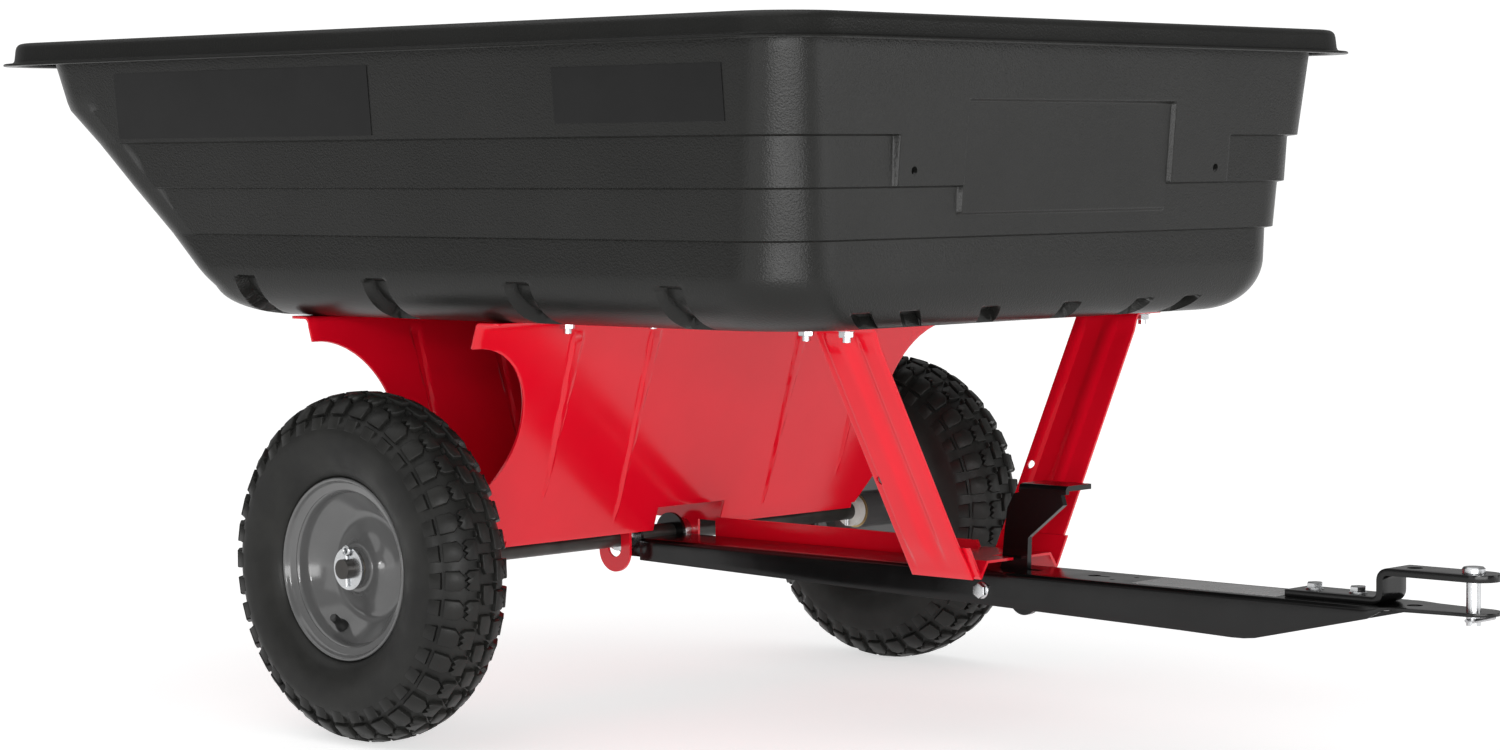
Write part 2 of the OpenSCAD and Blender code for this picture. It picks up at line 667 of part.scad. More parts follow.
// Each plate's rear and front end, then its lower and upper edge
plates = [[-358, 31, 582, 648], [281, 490, 590, 640]];
module label_plates() {
    drop = lip_z - ledges[1][0];
    foot_y = side_top - ledges[1][1];
    upper_wall = [[side_top, lip_z], [side_top + plate_t, lip_z],
        [foot_y + plate_t, lip_z - drop], [foot_y, lip_z - drop]];
    color("#26282a") in_place() both_sides() intersection() {
        slab_yz(-far / 2, 1.2 * far) polygon(upper_wall);
        union() {
            for (p = plates) slab_xz(side_top - 20, 30)
                polygon([[p[0], p[2]], [p[1], p[2]], [p[1], p[3]], [p[0], p[3]]]);
        }
    }
}

// ---------- Saddle ----------

saddle_slope = tan(saddle_lean);
flange_z = tub_bottom_z - sheet;
flange_x = 150;
wall_t = sheet / cos(saddle_lean);
function saddle_x(z) = saddle_foot_x + (z - saddle_z) * saddle_slope;
notch_half_w = 49.3;
notch_z = 204;
arch_y = 347.5;
arch_z = 302;
lower_half_w = 256;
shoulder = [300, 240];
rib_y = [110, 218];
rib_foot_z = [195, 224];

module saddle_wall() {
    slab = [[saddle_x(0) - wall_t, 0], [saddle_x(0), 0], [saddle_x(flange_z), flange_z],
        [flange_x, flange_z], [flange_x, tub_bottom_z], [saddle_x(tub_bottom_z) - wall_t, tub_bottom_z]];
    outline = [[0, notch_z], [notch_half_w, notch_z], [notch_half_w, saddle_z],
        [lower_half_w, saddle_z], shoulder, [saddle_half_w, shoulder[1]],
        [saddle_half_w, tub_bottom_z], [0, tub_bottom_z]];
    difference() {
        intersection() {
            slab_xz(-saddle_half_w, 2 * saddle_half_w) polygon(slab);
            both_sides() slab_yz(0, flange_x) polygon(outline);
        }
        both_sides() {
            bar_x([0, arch_y, arch_z], arch_r, flange_x);
            for (y = flange_bolt_y) translate([flange_bolt_x, y, flange_z - 5])
                cylinder(r = tub_bolt_r + fit, h = 20);
        }
        translate([saddle_x(380) - 20, -16, 376]) cube([40, 32, 8]);
    }
    both_sides() for (i = [0, 1]) saddle_rib(rib_y[i], rib_foot_z[i]);
}
// A pressed rib, wide at the top and coming to a point at its foot
module saddle_rib(y, foot_z) {
    proud = 3;
    top_z = 390;
    band = [[saddle_x(foot_z), foot_z], [saddle_x(foot_z) + proud, foot_z + 6],
        [saddle_x(top_z) + proud, top_z - 6], [saddle_x(top_z), top_z]];
    intersection() {
        slab_xz(y - 20, 40) polygon(band);
        slab_yz(0, flange_x) polygon([[y - 2, foot_z], [y + 2, foot_z], [y + 8, top_z], [y - 8, top_z]]);
    }
}
module saddle_front() { color(RED_STEEL) in_place() saddle_wall(); }
module saddle_rear() { color(RED_STEEL) in_place() mirror([1, 0, 0]) saddle_wall(); }

// Plates that join the two saddle walls and hang on the axle by a slotted eye
bracket_y = notch_half_w;
bracket_t = 3;
module pivot_bracket(side) {
    top_z = 330;
    inner = wall_t + 0.05;
    outline = [[-22, 156], [22, 156], [22, saddle_z + 2], [saddle_x(saddle_z + 2) - inner, saddle_z + 2],
        [saddle_x(top_z) - inner, top_z], [inner - saddle_x(top_z), top_z],
        [inner - saddle_x(saddle_z + 2), saddle_z + 2], [-22, saddle_z + 2]];
    color(RED_STEEL) in_place() on_side(side) difference() {
        union() {
            slab_xz(bracket_y, bracket_t) polygon(outline);
            bar_y([0, bracket_y, 156], 22, bracket_t);
        }
        bar_y([0, bracket_y - 1, axle_z], bore_r, bracket_t + 2);
        bar_y([0, bracket_y - 1, axle_z - 10], bore_r, bracket_t + 2);
        translate([-bore_r, bracket_y - 1, axle_z - 10]) cube([2 * bore_r, bracket_t + 2, 10]);
    }
}
module pivot_bracket_right() { pivot_bracket("right"); }
module pivot_bracket_left() { pivot_bracket("left"); }

// ---------- Rail, braces and bridge ----------

rail_t = 4;
rail_x0 = saddle_foot_x - 2;
rail_y = notch_half_w - rail_t;
rail_z0 = 162;
rail_z1 = 186;
rail_front_z1 = 173.3;
rise = tan(brace_lean);
brace_foot_z = 162;
brace_top_z = tub_bottom_z - sheet;
function brace_y(z) = brace_foot_y + (z - brace_foot_z) * rise;
brace_t = sheet / cos(brace_lean);
bridge_x1 = 490;
lever_slot = 18;
bridge_top = 180;

module frame_rail() {
    color(RED_STEEL) in_place() slab_xz(rail_y, rail_t) polygon([
        [rail_x0, rail_z1], [rail_x0, rail_z0], [brace_x + 42, rail_z0 + 2],
        [brace_x + 42, rail_front_z1], [brace_x - 2, rail_front_z1], [brace_x - 8, rail_z1]]);
}

// A leaning strut with a raised middle, turned out under the tub
module brace(side) {
    foot = brace_foot_z;
    top = brace_top_z;
    profile = [[brace_y(foot), foot], [brace_y(top), top], [235, top], [235, tub_bottom_z],
        [brace_y(tub_bottom_z) - brace_t, tub_bottom_z], [brace_y(foot) - brace_t, foot]];
    raised = [[brace_y(foot + 12), foot + 12], [brace_y(foot + 16) + 3, foot + 16],
        [brace_y(top - 14) + 3, top - 14], [brace_y(top - 10), top - 10]];
    color(RED_STEEL) in_place() on_side(side) difference() {
        union() {
            slab_yz(brace_x, brace_w) polygon(profile);
            slab_yz(brace_x + 25, brace_w - 50) polygon(raised);
        }
        bar_y([brace_x + 7, 60, 256], 4, 100);
        for (x = brace_bolt_x) translate([x, brace_bolt_y, top - 5])
            cylinder(r = tub_bolt_r + fit, h = 20);
    }
}
module brace_right() { brace("right"); }
module brace_left() { brace("left"); }

// Ties the two brace feet together over the tongue, with a slot for the lever
module brace_bridge() {
    x0 = brace_x + 2;
    inner = brace_t + 0.05;
    half = [[0, bridge_top], [48, bridge_top], [57.5, 167.5], [brace_y(194) - inner - brace_t, 194],
        [brace_y(194) - inner, 194], [brace_y(166) - inner, 166], [56.5, 163],
        [46.5, bridge_top - sheet], [0, bridge_top - sheet]];
    color(RED_STEEL) in_place() difference() {
        both_sides() slab_yz(x0, bridge_x1 - x0) polygon(half);
        translate([slot_x0 - 2, -lever_slot / 2, bridge_top - 20]) cube([far, lever_slot, 40]);
    }
}

tongue();
tongue_yoke();
axle();
axle_sleeves();
axle_spacers();
roll_pins();
axle_washers();
axle_cotters();
hitch_strap();
hitch_bolts();
hitch_nuts();
latch_bolt();
latch_nut();
latch_bushings();
latch_spring();
tub();
tub_bolts();
tub_washers();
tub_nuts();
label_plates();
saddle_front();
saddle_rear();
pivot_bracket_right();
pivot_bracket_left();
frame_rail();
brace_right();
brace_left();
brace_bridge();
latch_lever();
latch_pedal();
hitch_pin();
hitch_clip();
tyre_right();
tube_right();
rim_outer_right();
rim_inner_right();
hub_right();
bearings_right();
valve_stem_right();
valve_cap_right();
tyre_left();
tube_left();
rim_outer_left();
rim_inner_left();
hub_left();
bearings_left();
valve_stem_left();
valve_cap_left();
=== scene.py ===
import json
import math

import bmesh
import bpy
from mathutils import Matrix, Vector


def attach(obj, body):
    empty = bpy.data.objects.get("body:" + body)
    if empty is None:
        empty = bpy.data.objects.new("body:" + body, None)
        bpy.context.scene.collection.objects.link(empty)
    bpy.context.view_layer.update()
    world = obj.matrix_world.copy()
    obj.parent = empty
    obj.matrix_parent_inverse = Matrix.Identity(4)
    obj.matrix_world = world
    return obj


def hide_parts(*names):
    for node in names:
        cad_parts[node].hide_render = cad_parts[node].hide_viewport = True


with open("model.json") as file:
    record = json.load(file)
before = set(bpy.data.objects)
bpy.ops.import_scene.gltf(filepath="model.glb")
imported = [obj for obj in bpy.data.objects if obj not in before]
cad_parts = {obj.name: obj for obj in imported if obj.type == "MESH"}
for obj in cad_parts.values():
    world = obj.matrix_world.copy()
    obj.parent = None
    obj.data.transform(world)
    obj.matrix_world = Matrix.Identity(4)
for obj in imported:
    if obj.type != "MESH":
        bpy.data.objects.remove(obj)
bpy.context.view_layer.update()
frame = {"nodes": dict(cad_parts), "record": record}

# Shapes are written in millimetres from the ground point under the axle, as the design is,
# and turned into metres in the cart's own frame by place().
JOINTS = {joint["name"]: joint for joint in frame["record"]["behaviour"]["joints"]}
AXLE = Vector(JOINTS["bed_tilt"]["pos_m"])
AXLE_Z = AXLE.z * 1000


def place(x, y, z):
    """A point in millimetres from the axle's ground point, in the cart's own frame."""
    return Vector((AXLE.x + x / 1000, y / 1000, z / 1000))


def mix(a, b, t):
    """a at t = 0, b at t = 1."""
    return a + (b - a) * t


def clamp(t):
    return max(0.0, min(1.0, t))


def smooth(t):
    """A soft step from 0 to 1."""
    t = clamp(t)
    return t * t * (3 - 2 * t)


def lookup(table, x):
    """Straight-line reading of a table of (x, value) in rising x."""
    if x <= table[0][0]:
        return table[0][1]
    for (x0, v0), (x1, v1) in zip(table, table[1:]):
        if x <= x1:
            return mix(v0, v1, (x - x0) / (x1 - x0))
    return table[-1][1]


# ---------- Materials ----------


def node_material(name):
    mat = bpy.data.materials.new(name)
    mat.use_nodes = True
    nodes = mat.node_tree.nodes
    return mat, nodes, mat.node_tree.links, nodes["Principled BSDF"]


def noise(nodes, links, coords, scale, detail=4.0):
    tex = nodes.new("ShaderNodeTexNoise")
    tex.inputs["Scale"].default_value = scale
    tex.inputs["Detail"].default_value = detail
    tex.inputs["Roughness"].default_value = 0.55
    links.new(coords, tex.inputs["Vector"])
    return tex.outputs["Fac"]


def spread(nodes, links, value, low, high, start=0.3, end=0.7):
    """Maps a noise value onto low..high."""
    span = nodes.new("ShaderNodeMapRange")
    span.inputs["From Min"].default_value = start
    span.inputs["From Max"].default_value = end
    span.inputs["To Min"].default_value = low
    span.inputs["To Max"].default_value = high
    links.new(value, span.inputs["Value"])
    return span.outputs["Result"]


def two_tone(nodes, links, value, dark, light):
    """A colour between dark and light, by a value from 0 to 1."""
    blend = nodes.new("ShaderNodeMix")
    blend.data_type = "RGBA"
    blend.inputs[6].default_value = (*dark, 1)
    blend.inputs[7].default_value = (*light, 1)
    links.new(value, blend.inputs[0])
    return blend.outputs[2]


def relief(nodes, links, value, depth, below=None):
    """A bump of the given depth in metres, laid over another one if there is one below."""
    bump = nodes.new("ShaderNodeBump")
    bump.inputs["Strength"].default_value = 1.0
    bump.inputs["Distance"].default_value = depth
    links.new(value, bump.inputs["Height"])
    if below is not None:
        links.new(below, bump.inputs["Normal"])
    return bump.outputs["Normal"]


def finish_material(name, dark, light, rough, tone_scale, fine_scale, fine_depth,
                    metallic=0.0, coat=0.0, specular=0.5, grain="noise", wave_depth=0.0,
                    glow=0.0):
    """A surface with cloudy colour and gloss, and a fine relief over an optional soft wave."""
    mat, nodes, links, shader = node_material(name)
    coords = nodes.new("ShaderNodeTexCoord").outputs["Object"]
    shader.inputs["Metallic"].default_value = metallic
    shader.inputs["Coat Weight"].default_value = coat
    shader.inputs["Coat Roughness"].default_value = 0.12
    shader.inputs["Specular IOR Level"].default_value = specular
    shader.inputs["Emission Color"].default_value = (1, 1, 1, 1)
    shader.inputs["Emission Strength"].default_value = glow
    tone = noise(nodes, links, coords, tone_scale)
    tone = spread(nodes, links, tone, 0.0, 1.0)
    links.new(two_tone(nodes, links, tone, dark, light), shader.inputs["Base Color"])
    cloud = noise(nodes, links, coords, tone_scale * 3.1, 6.0)
    links.new(spread(nodes, links, cloud, *rough), shader.inputs["Roughness"])
    if grain == "pebble":
        cells = nodes.new("ShaderNodeTexVoronoi")
        cells.feature = "SMOOTH_F1"
        cells.inputs["Scale"].default_value = fine_scale
        links.new(coords, cells.inputs["Vector"])
        fine = cells.outputs["Distance"]
    else:
        fine = noise(nodes, links, coords, fine_scale, 3.0)
    below = None
    if wave_depth:
        below = relief(nodes, links, noise(nodes, links, coords, 9.0, 1.0), wave_depth)
    links.new(relief(nodes, links, fine, fine_depth, below), shader.inputs["Normal"])
    return mat


red_paint = finish_material("red_powder_coat", (0.61, 0.0015, 0.012), (0.68, 0.003, 0.016),
                            (0.13, 0.20), 7, 420, 0.00004, coat=0.12, specular=0.40,
                            wave_depth=0.0003)
black_paint = finish_material("black_powder_coat", (0.002, 0.002, 0.002), (0.004, 0.004, 0.004),
                              (0.14, 0.24), 8, 480, 0.00004, specular=0.32, wave_depth=0.0002)
tub_plastic = finish_material("tub_polyethylene", (0.0085, 0.0086, 0.0079),
                              (0.0115, 0.0116, 0.0108), (0.28, 0.34), 6, 620, 0.0002,
                              specular=0.22, grain="pebble", wave_depth=0.0004)
rim_paint = finish_material("rim_grey_paint", (0.088, 0.088, 0.088), (0.105, 0.105, 0.105),
                            (0.12, 0.2), 10, 500, 0.00004, coat=0.35, wave_depth=0.0003)
tyre_rubber = finish_material("tyre_rubber", (0.009, 0.009, 0.0085), (0.018, 0.018, 0.0165),
                              (0.34, 0.5), 22, 900, 0.0001, specular=0.2)
plain_rubber = finish_material("valve_rubber", (0.012, 0.012, 0.012), (0.02, 0.02, 0.02),
                               (0.4, 0.55), 60, 1500, 0.00005)
cap_plastic = finish_material("cap_plastic", (0.006, 0.006, 0.006), (0.01, 0.01, 0.01),
                              (0.3, 0.4), 80, 1800, 0.00003)
plate_film = finish_material("blank_plate_film", (0.006, 0.006, 0.006), (0.008, 0.008, 0.008),
                             (0.3, 0.36), 14, 900, 0.00003, specular=0.18)
zinc_plate = finish_material("zinc_plating", (0.50, 0.51, 0.52), (0.60, 0.61, 0.62),
                             (0.2, 0.3), 45, 700, 0.000006, metallic=1.0)
dark_steel = finish_material("oiled_dark_steel", (0.035, 0.033, 0.031), (0.06, 0.056, 0.052),
                             (0.3, 0.45), 30, 700, 0.00003, metallic=0.6)
wire_steel = finish_material("spring_wire", (0.36, 0.36, 0.37), (0.5, 0.5, 0.51),
                             (0.25, 0.4), 90, 1500, 0.00003, metallic=1.0)
nylon = finish_material("natural_nylon", (0.66, 0.65, 0.61), (0.74, 0.73, 0.69),
                        (0.4, 0.5), 40, 1200, 0.00003)
bronze = finish_material("sintered_bronze", (0.34, 0.23, 0.10), (0.48, 0.34, 0.16),
                         (0.3, 0.5), 70, 1600, 0.00005, metallic=1.0)
label_film = finish_material("blank_label_film", (0.30, 0.30, 0.30), (0.36, 0.36, 0.36),
                             (0.2, 0.3), 20, 900, 0.00003)

SLOT_MATERIALS = {
    "black_paint": black_paint, "red_paint": red_paint, "tub_plastic": tub_plastic,
    "rim_paint": rim_paint, "tyre_rubber": tyre_rubber, "tube_rubber": plain_rubber,
    "cap_plastic": cap_plastic, "plate_film": plate_film, "zinc_plate": zinc_plate,
    "spring_steel": wire_steel, "nylon": nylon, "sleeve_bronze": bronze,
    "axle_steel": dark_steel, "label": label_film,
}


def dress_cad_nodes():
    """Gives every node of the frame the material of its slot in the record."""
    for part in frame["record"]["subparts"]:
        for obj_slot in frame["nodes"][part["node"]].material_slots:
            obj_slot.material = SLOT_MATERIALS[part["material_slot"]]


# ---------- Mesh helpers ----------


def new_piece(name, points, faces, body, slot_name, replaced=(), sharp=35):
    """A mesh object from points in millimetres about the axle's ground point."""
    mesh = bpy.data.meshes.new(name)
    mesh.from_pydata([place(*p) for p in points], [], faces)
    mesh.validate()
    fix = bmesh.new()
    fix.from_mesh(mesh)
    bmesh.ops.remove_doubles(fix, verts=fix.verts, dist=1e-6)
    bmesh.ops.recalc_face_normals(fix, faces=fix.faces)
    fix.to_mesh(mesh)
    fix.free()
    mesh.polygons.foreach_set("use_smooth", [True] * len(mesh.polygons))
    mesh.set_sharp_from_angle(angle=math.radians(sharp))
    mesh.materials.append(SLOT_MATERIALS[slot_name])
    obj = bpy.data.objects.new(name, mesh)
    bpy.context.collection.objects.link(obj)
    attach(obj, body)
    if replaced:
        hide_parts(*replaced)
    return obj


def apply_modifiers(obj, sharp=35):
    """Turns a piece's modifiers into its mesh, so that the next cut starts from it."""
    graph = bpy.context.evaluated_depsgraph_get()
    mesh = bpy.data.meshes.new_from_object(obj.evaluated_get(graph))
    old = obj.data
    obj.modifiers.clear()
    obj.data = mesh
    mesh.name = old.name
    bpy.data.meshes.remove(old)
    mesh.polygons.foreach_set("use_smooth", [True] * len(mesh.polygons))
    mesh.set_sharp_from_angle(angle=math.radians(sharp))


def loft(rings):
    """Quads between closed rings of points that all have the same count."""
    per = len(rings[0])
    points = [p for ring in rings for p in ring]
    faces = []
    for i in range(len(rings) - 1):
        for k in range(per):
            j = (k + 1) % per
            faces.append((i * per + k, i * per + j, (i + 1) * per + j, (i + 1) * per + k))
    return points, faces


def sheet_faces(rows):
    """Quads between open rows of points that all have the same count."""
    points = [p for row in rows for p in row]
    per = len(rows[0])
    faces = [(i * per + k, i * per + k + 1, (i + 1) * per + k + 1, (i + 1) * per + k)
             for i in range(len(rows) - 1) for k in range(per - 1)]
    return points, faces


def thicken_behind(piece, thickness, near, outward, edge=0.4, even=True):
    """Thickens a sheet away from the side that faces outward at the point near.

    Its edges are softened by the width edge."""
    spot = place(*near)
    face = min(piece.data.polygons, key=lambda f: (f.center - spot).length)
    sheet = piece.modifiers.new("thickness", "SOLIDIFY")
    sheet.thickness = thickness / 1000
    sheet.offset = -1.0 if face.normal.dot(Vector(outward)) > 0 else 1.0
    sheet.use_even_offset = even
    bevel = piece.modifiers.new("edges", "BEVEL")
    bevel.width = edge / 1000
    bevel.segments = 2
    bevel.limit_method = "ANGLE"
    bevel.angle_limit = math.radians(50)
    apply_modifiers(piece)


def cut(obj, points, faces):
    """Cuts a closed shape, given in millimetres, out of a piece."""
    mesh = bpy.data.meshes.new("cutter")
    mesh.from_pydata([place(*p) for p in points], [], faces)
    fix = bmesh.new()
    fix.from_mesh(mesh)
    bmesh.ops.recalc_face_normals(fix, faces=fix.faces)
    fix.to_mesh(mesh)
    fix.free()
    tool = bpy.data.objects.new("cutter", mesh)
    bpy.context.collection.objects.link(tool)
    boolean = obj.modifiers.new("cut", "BOOLEAN")
    boolean.operation = "DIFFERENCE"
    boolean.solver = "EXACT"
    boolean.object = tool
    apply_modifiers(obj)
    bpy.data.objects.remove(tool)
    bpy.data.meshes.remove(mesh)


def prism(outline, low, high, axis):
    """A closed prism along axis 0, 1 or 2 from a list of the other two coordinates."""
    def point(pair, along):
        p = list(pair)
        p.insert(axis, along)
        return tuple(p)
    n = len(outline)
    points = [point(p, low) for p in outline] + [point(p, high) for p in outline]
    faces = [tuple(range(n)), tuple(range(2 * n - 1, n - 1, -1))]
    faces += [(k, (k + 1) % n, n + (k + 1) % n, n + k) for k in range(n)]
    return points, faces


def circle(cx, cy, r, n=24):
    """The n points of a full circle."""
    return [(cx + r * math.cos(math.radians(360 * k / n)),
             cy + r * math.sin(math.radians(360 * k / n))) for k in range(n)]


def arc(cx, cy, r, start, end, steps=6):
    """Points along part of a circle, both ends included, with its angles in degrees."""
    return [(cx + r * math.cos(math.radians(mix(start, end, k / steps))),
             cy + r * math.sin(math.radians(mix(start, end, k / steps)))) for k in range(steps + 1)]


# ---------- Tub ----------

# Heights of the rim, the wall's upper end, its three ledges, the low curve and the underside
TUB_TOP, WALL_TOP = 682.7, 658.7
LEDGE_1, LEDGE_2, LEDGE_3 = 577.5, 531.7, 485.8
CURVE_Z, REAR_CURVE_Z = 455.0, 433.0
TUB_BOTTOM = 405.0
# Distances from the axle and the middle to the lip, the wall's upper end and the flat underside,
# and the radii of their corners
LIP_FRONT, LIP_REAR, LIP_SIDE, LIP_R = 600.0, 552.0, 440.7, 73.6
WALL_FRONT, WALL_SIDE, WALL_R = 563.9, 408.5, 51.0
FLAT_FRONT, FLAT_REAR, FLAT_SIDE = 506.0, 215.0, 324.0
REAR_R, REAR_LOW_R = 48, 56
# Thickness of the wall, width of the lip's flat, and how far the wall is in below the third ledge
WALL = 4.0
LIP = 10.3
LOW_INSET = 27.7
# Bands between the ledges: upper end, how far in that is, and what each millimetre down adds
BAND_1 = (WALL_TOP, 0.0, 0.0883)
BAND_2 = (LEDGE_1, 13.5, 0.0437)
BAND_3 = (LEDGE_2, 19.8, 0.061)
# The rear wall's slant: its upper end, and its run per millimetre of height below and above that
SLANT_X, SLANT_Z = 470, 612
SLANT, UPPER_SLANT = 1.099, 0.36
# The slanting edge where the side bands end, ahead of the rear wall, and its upper end
CREASE_AHEAD = 69.0
CREASE_TOP = 620.0
# The front wall's middle, which has no first ledge, and its sunken panel
JOG_Y = 250.0
PANEL_Y, PANEL_LOW, PANEL_TOP, PANEL_DEPTH = 155.0, 507.0, 609.0, 4.0
# Drainage flutes: their centres along the sides and the front, and their section
SIDE_FLUTES = (-188.0, 5.0, 203.0, 398.0)
FRONT_FLUTES = (-300.0, -226.0, -98.0, 38.0, 165.0, 252.0)
FLUTE_HALF, FLUTE_DEPTH, FLUTE_TOP, FRONT_FLUTE_TOP = 16.0, 11.0, 446.0, 421.0
FLUTE_FOOT = 405.6
# The holes in the front wall
FRONT_HOLE_Y, FRONT_HOLE_Z, FRONT_HOLE_R = 227.0, 546.0, 4.0
# Size of the flat floor's last ring beside the ring around it
FLOOR_SCALE = 0.86
# Columns of points along the side and around the corners and the rear
SIDE_START, SIDE_END = 425.0, -150.0
SIDE_STEPS, BACK_STEPS = 180, 20
CORNER_STEPS = 20
REAR_STEPS = 24


def step(z, ledge):
    """0 above a ledge, 1 below it."""
    return smooth((ledge + 0.9 - z) / 1.8)


def band_inset(band, z):
    """How far a band is set in at height z."""
    top, inset, slope = band
    return inset + slope * (top - z)


def side_inset(z):
    """How far the side is set in: each ledge steps it on to the next band."""
    inset = mix(band_inset(BAND_1, z), band_inset(BAND_2, z), step(z, LEDGE_1))
    inset = mix(inset, band_inset(BAND_3, z), step(z, LEDGE_2))
    return mix(inset, LOW_INSET, step(z, LEDGE_3))


def corner_post_inset(z):
    """The plain rear corner, which the bands stand proud of near their ledges."""
    return lookup([(LEDGE_3, LOW_INSET), (LEDGE_2, BAND_3[1]), (LEDGE_1, BAND_2[1]),
                   (CREASE_TOP, band_inset(BAND_1, CREASE_TOP)), (WALL_TOP, 0.0)], z)


def front_inset(z, y):
    """How far the front wall is set in; its middle has no first ledge, but a sunken panel."""
    beside = smooth((abs(y) - JOG_Y + 2.2) / 4.4)
    inset = mix(band_inset(BAND_1, z), band_inset(BAND_2, z), step(z, LEDGE_1) * beside)
    inset = mix(inset, band_inset(BAND_3, z), step(z, LEDGE_2))
    inset = mix(inset, LOW_INSET, step(z, LEDGE_3))
    panel = smooth((PANEL_Y + 2 - abs(y)) / 4) * smooth((PANEL_TOP + 2 - z) / 4)
    panel *= smooth((z - PANEL_LOW + 2) / 4)
    return mix(inset, band_inset(BAND_1, z) + PANEL_DEPTH, panel)


def low_curve(z, start):
    """0 at the tub's flat underside, 1 where the bottom curve meets the wall."""
    return math.sqrt(max(0.0, 1 - ((start - z) / (start - TUB_BOTTOM)) ** 2)) if z < start else 1.0


def slant_x(z):
    """How far behind the axle the rear wall is at height z."""
    return SLANT_X + (z - SLANT_Z) * (UPPER_SLANT if z > SLANT_Z else SLANT)


def rear_wall(z):
    """How far behind the axle the rear wall is, with the low curve below its slant."""
    if z >= REAR_CURVE_Z:
        return slant_x(z)
    return mix(FLAT_REAR, slant_x(REAR_CURVE_Z), low_curve(z, REAR_CURVE_Z))


def front_wall(z):
    """How far ahead of the axle the front wall is at height z, below its ledges."""
    return mix(FLAT_FRONT, WALL_FRONT - LOW_INSET, low_curve(z, CURVE_Z))


def side_wall(z):
    """Half the tub's width at height z, below its ledges."""
    return mix(FLAT_SIDE, WALL_SIDE - LOW_INSET, low_curve(z, CURVE_Z))


def front_columns():
    """Where the front wall's points lie: even, but close together at each edge of a shape."""
    ys = [5.0 * k for k in range(61)]
    for edge in (PANEL_Y, JOG_Y):
        ys = [y for y in ys if abs(y - edge) > 4.5]
        ys += [edge + d for d in (-3.2, -2.2, -1.5, -0.8, 0, 0.8, 1.5, 2.2, 3.2)]
    for centre in FRONT_FLUTES:
        for edge in (abs(centre) - FLUTE_HALF, abs(centre) + FLUTE_HALF):
            ys = [y for y in ys if abs(y - edge) > 5.2] + [edge + d for d in (-4, -2, 0, 2, 4)]
    ys = sorted(ys)
    return [-y for y in reversed(ys) if y > 0] + ys


FRONT_YS = front_columns()


def front_squeeze(straight):
    """How much the front's columns close up where the straight part is short."""
    return min(1.0, (straight - 6) / FRONT_YS[-1])


def tub_ring(z, rear, front, half, r_front, r_rear, crease, front_in, side_in, post_in):
    """One level of the tub, anticlockwise from the front wall's right end.

    front_in(y), side_in and post_in are how far the front wall, the side bands and the
    rear corner posts are set in from the given front and half width."""
    straight = half - side_in - r_front
    rx = -rear + r_rear
    crease = max(crease, rx + 3)
    limit = front_squeeze(straight)
    cx = front - front_in(WALL_SIDE) - r_front
    back_y = half - post_in - r_rear
    left = []
    for k in range(CORNER_STEPS + 1):
        a = math.radians(90 * k / CORNER_STEPS)
        left.append((cx + r_front * math.cos(a), straight + r_front * math.sin(a), z))
    for k in range(SIDE_STEPS):
        left.append((mix(SIDE_START, SIDE_END, k / SIDE_STEPS), half - side_in, z))
    for k in range(BACK_STEPS):
        left.append((mix(SIDE_END, crease + 1, k / BACK_STEPS), half - side_in, z))
    left.append((crease + 1, half - side_in, z))
    left.append((crease - 1.5, half - post_in, z))
    for k in range(1, 4):
        left.append((mix(crease - 1.5, rx, k / 4), half - post_in, z))
    for k in range(CORNER_STEPS + 1):
        a = math.radians(90 + 90 * k / CORNER_STEPS)
        left.append((rx + r_rear * math.cos(a), back_y + r_rear * math.sin(a), z))
    ring = [(front - front_in(y * limit), y * limit, z) for y in FRONT_YS] + left
    for k in range(1, REAR_STEPS):
        ring.append((-rear, mix(back_y, -back_y, k / REAR_STEPS), z))
    ring += [(x, -y, zz) for x, y, zz in reversed(left)]
    return ring


def flute_push(x, y, z, half, front, squeeze):
    """How far a point of the low curve is pressed in by the drainage flutes."""
    on_side = max(smooth((FLUTE_HALF - abs(x - c)) / 4) for c in SIDE_FLUTES)
    on_front = max(smooth((FLUTE_HALF - abs(y / squeeze - c)) / 4) for c in FRONT_FLUTES)
    beside = smooth((abs(y) - half + 50) / 30) if abs(y) > 220 and x < front - 75 else 0.0
    ahead = smooth((x - front + 40) / 25)
    side = smooth((FLUTE_TOP - z) / 6) * on_side * beside
    foot = clamp((z - FLUTE_FOOT) / 0.8)
    return foot * FLUTE_DEPTH * max(side, smooth((FRONT_FLUTE_TOP - z) / 5) * on_front * ahead)


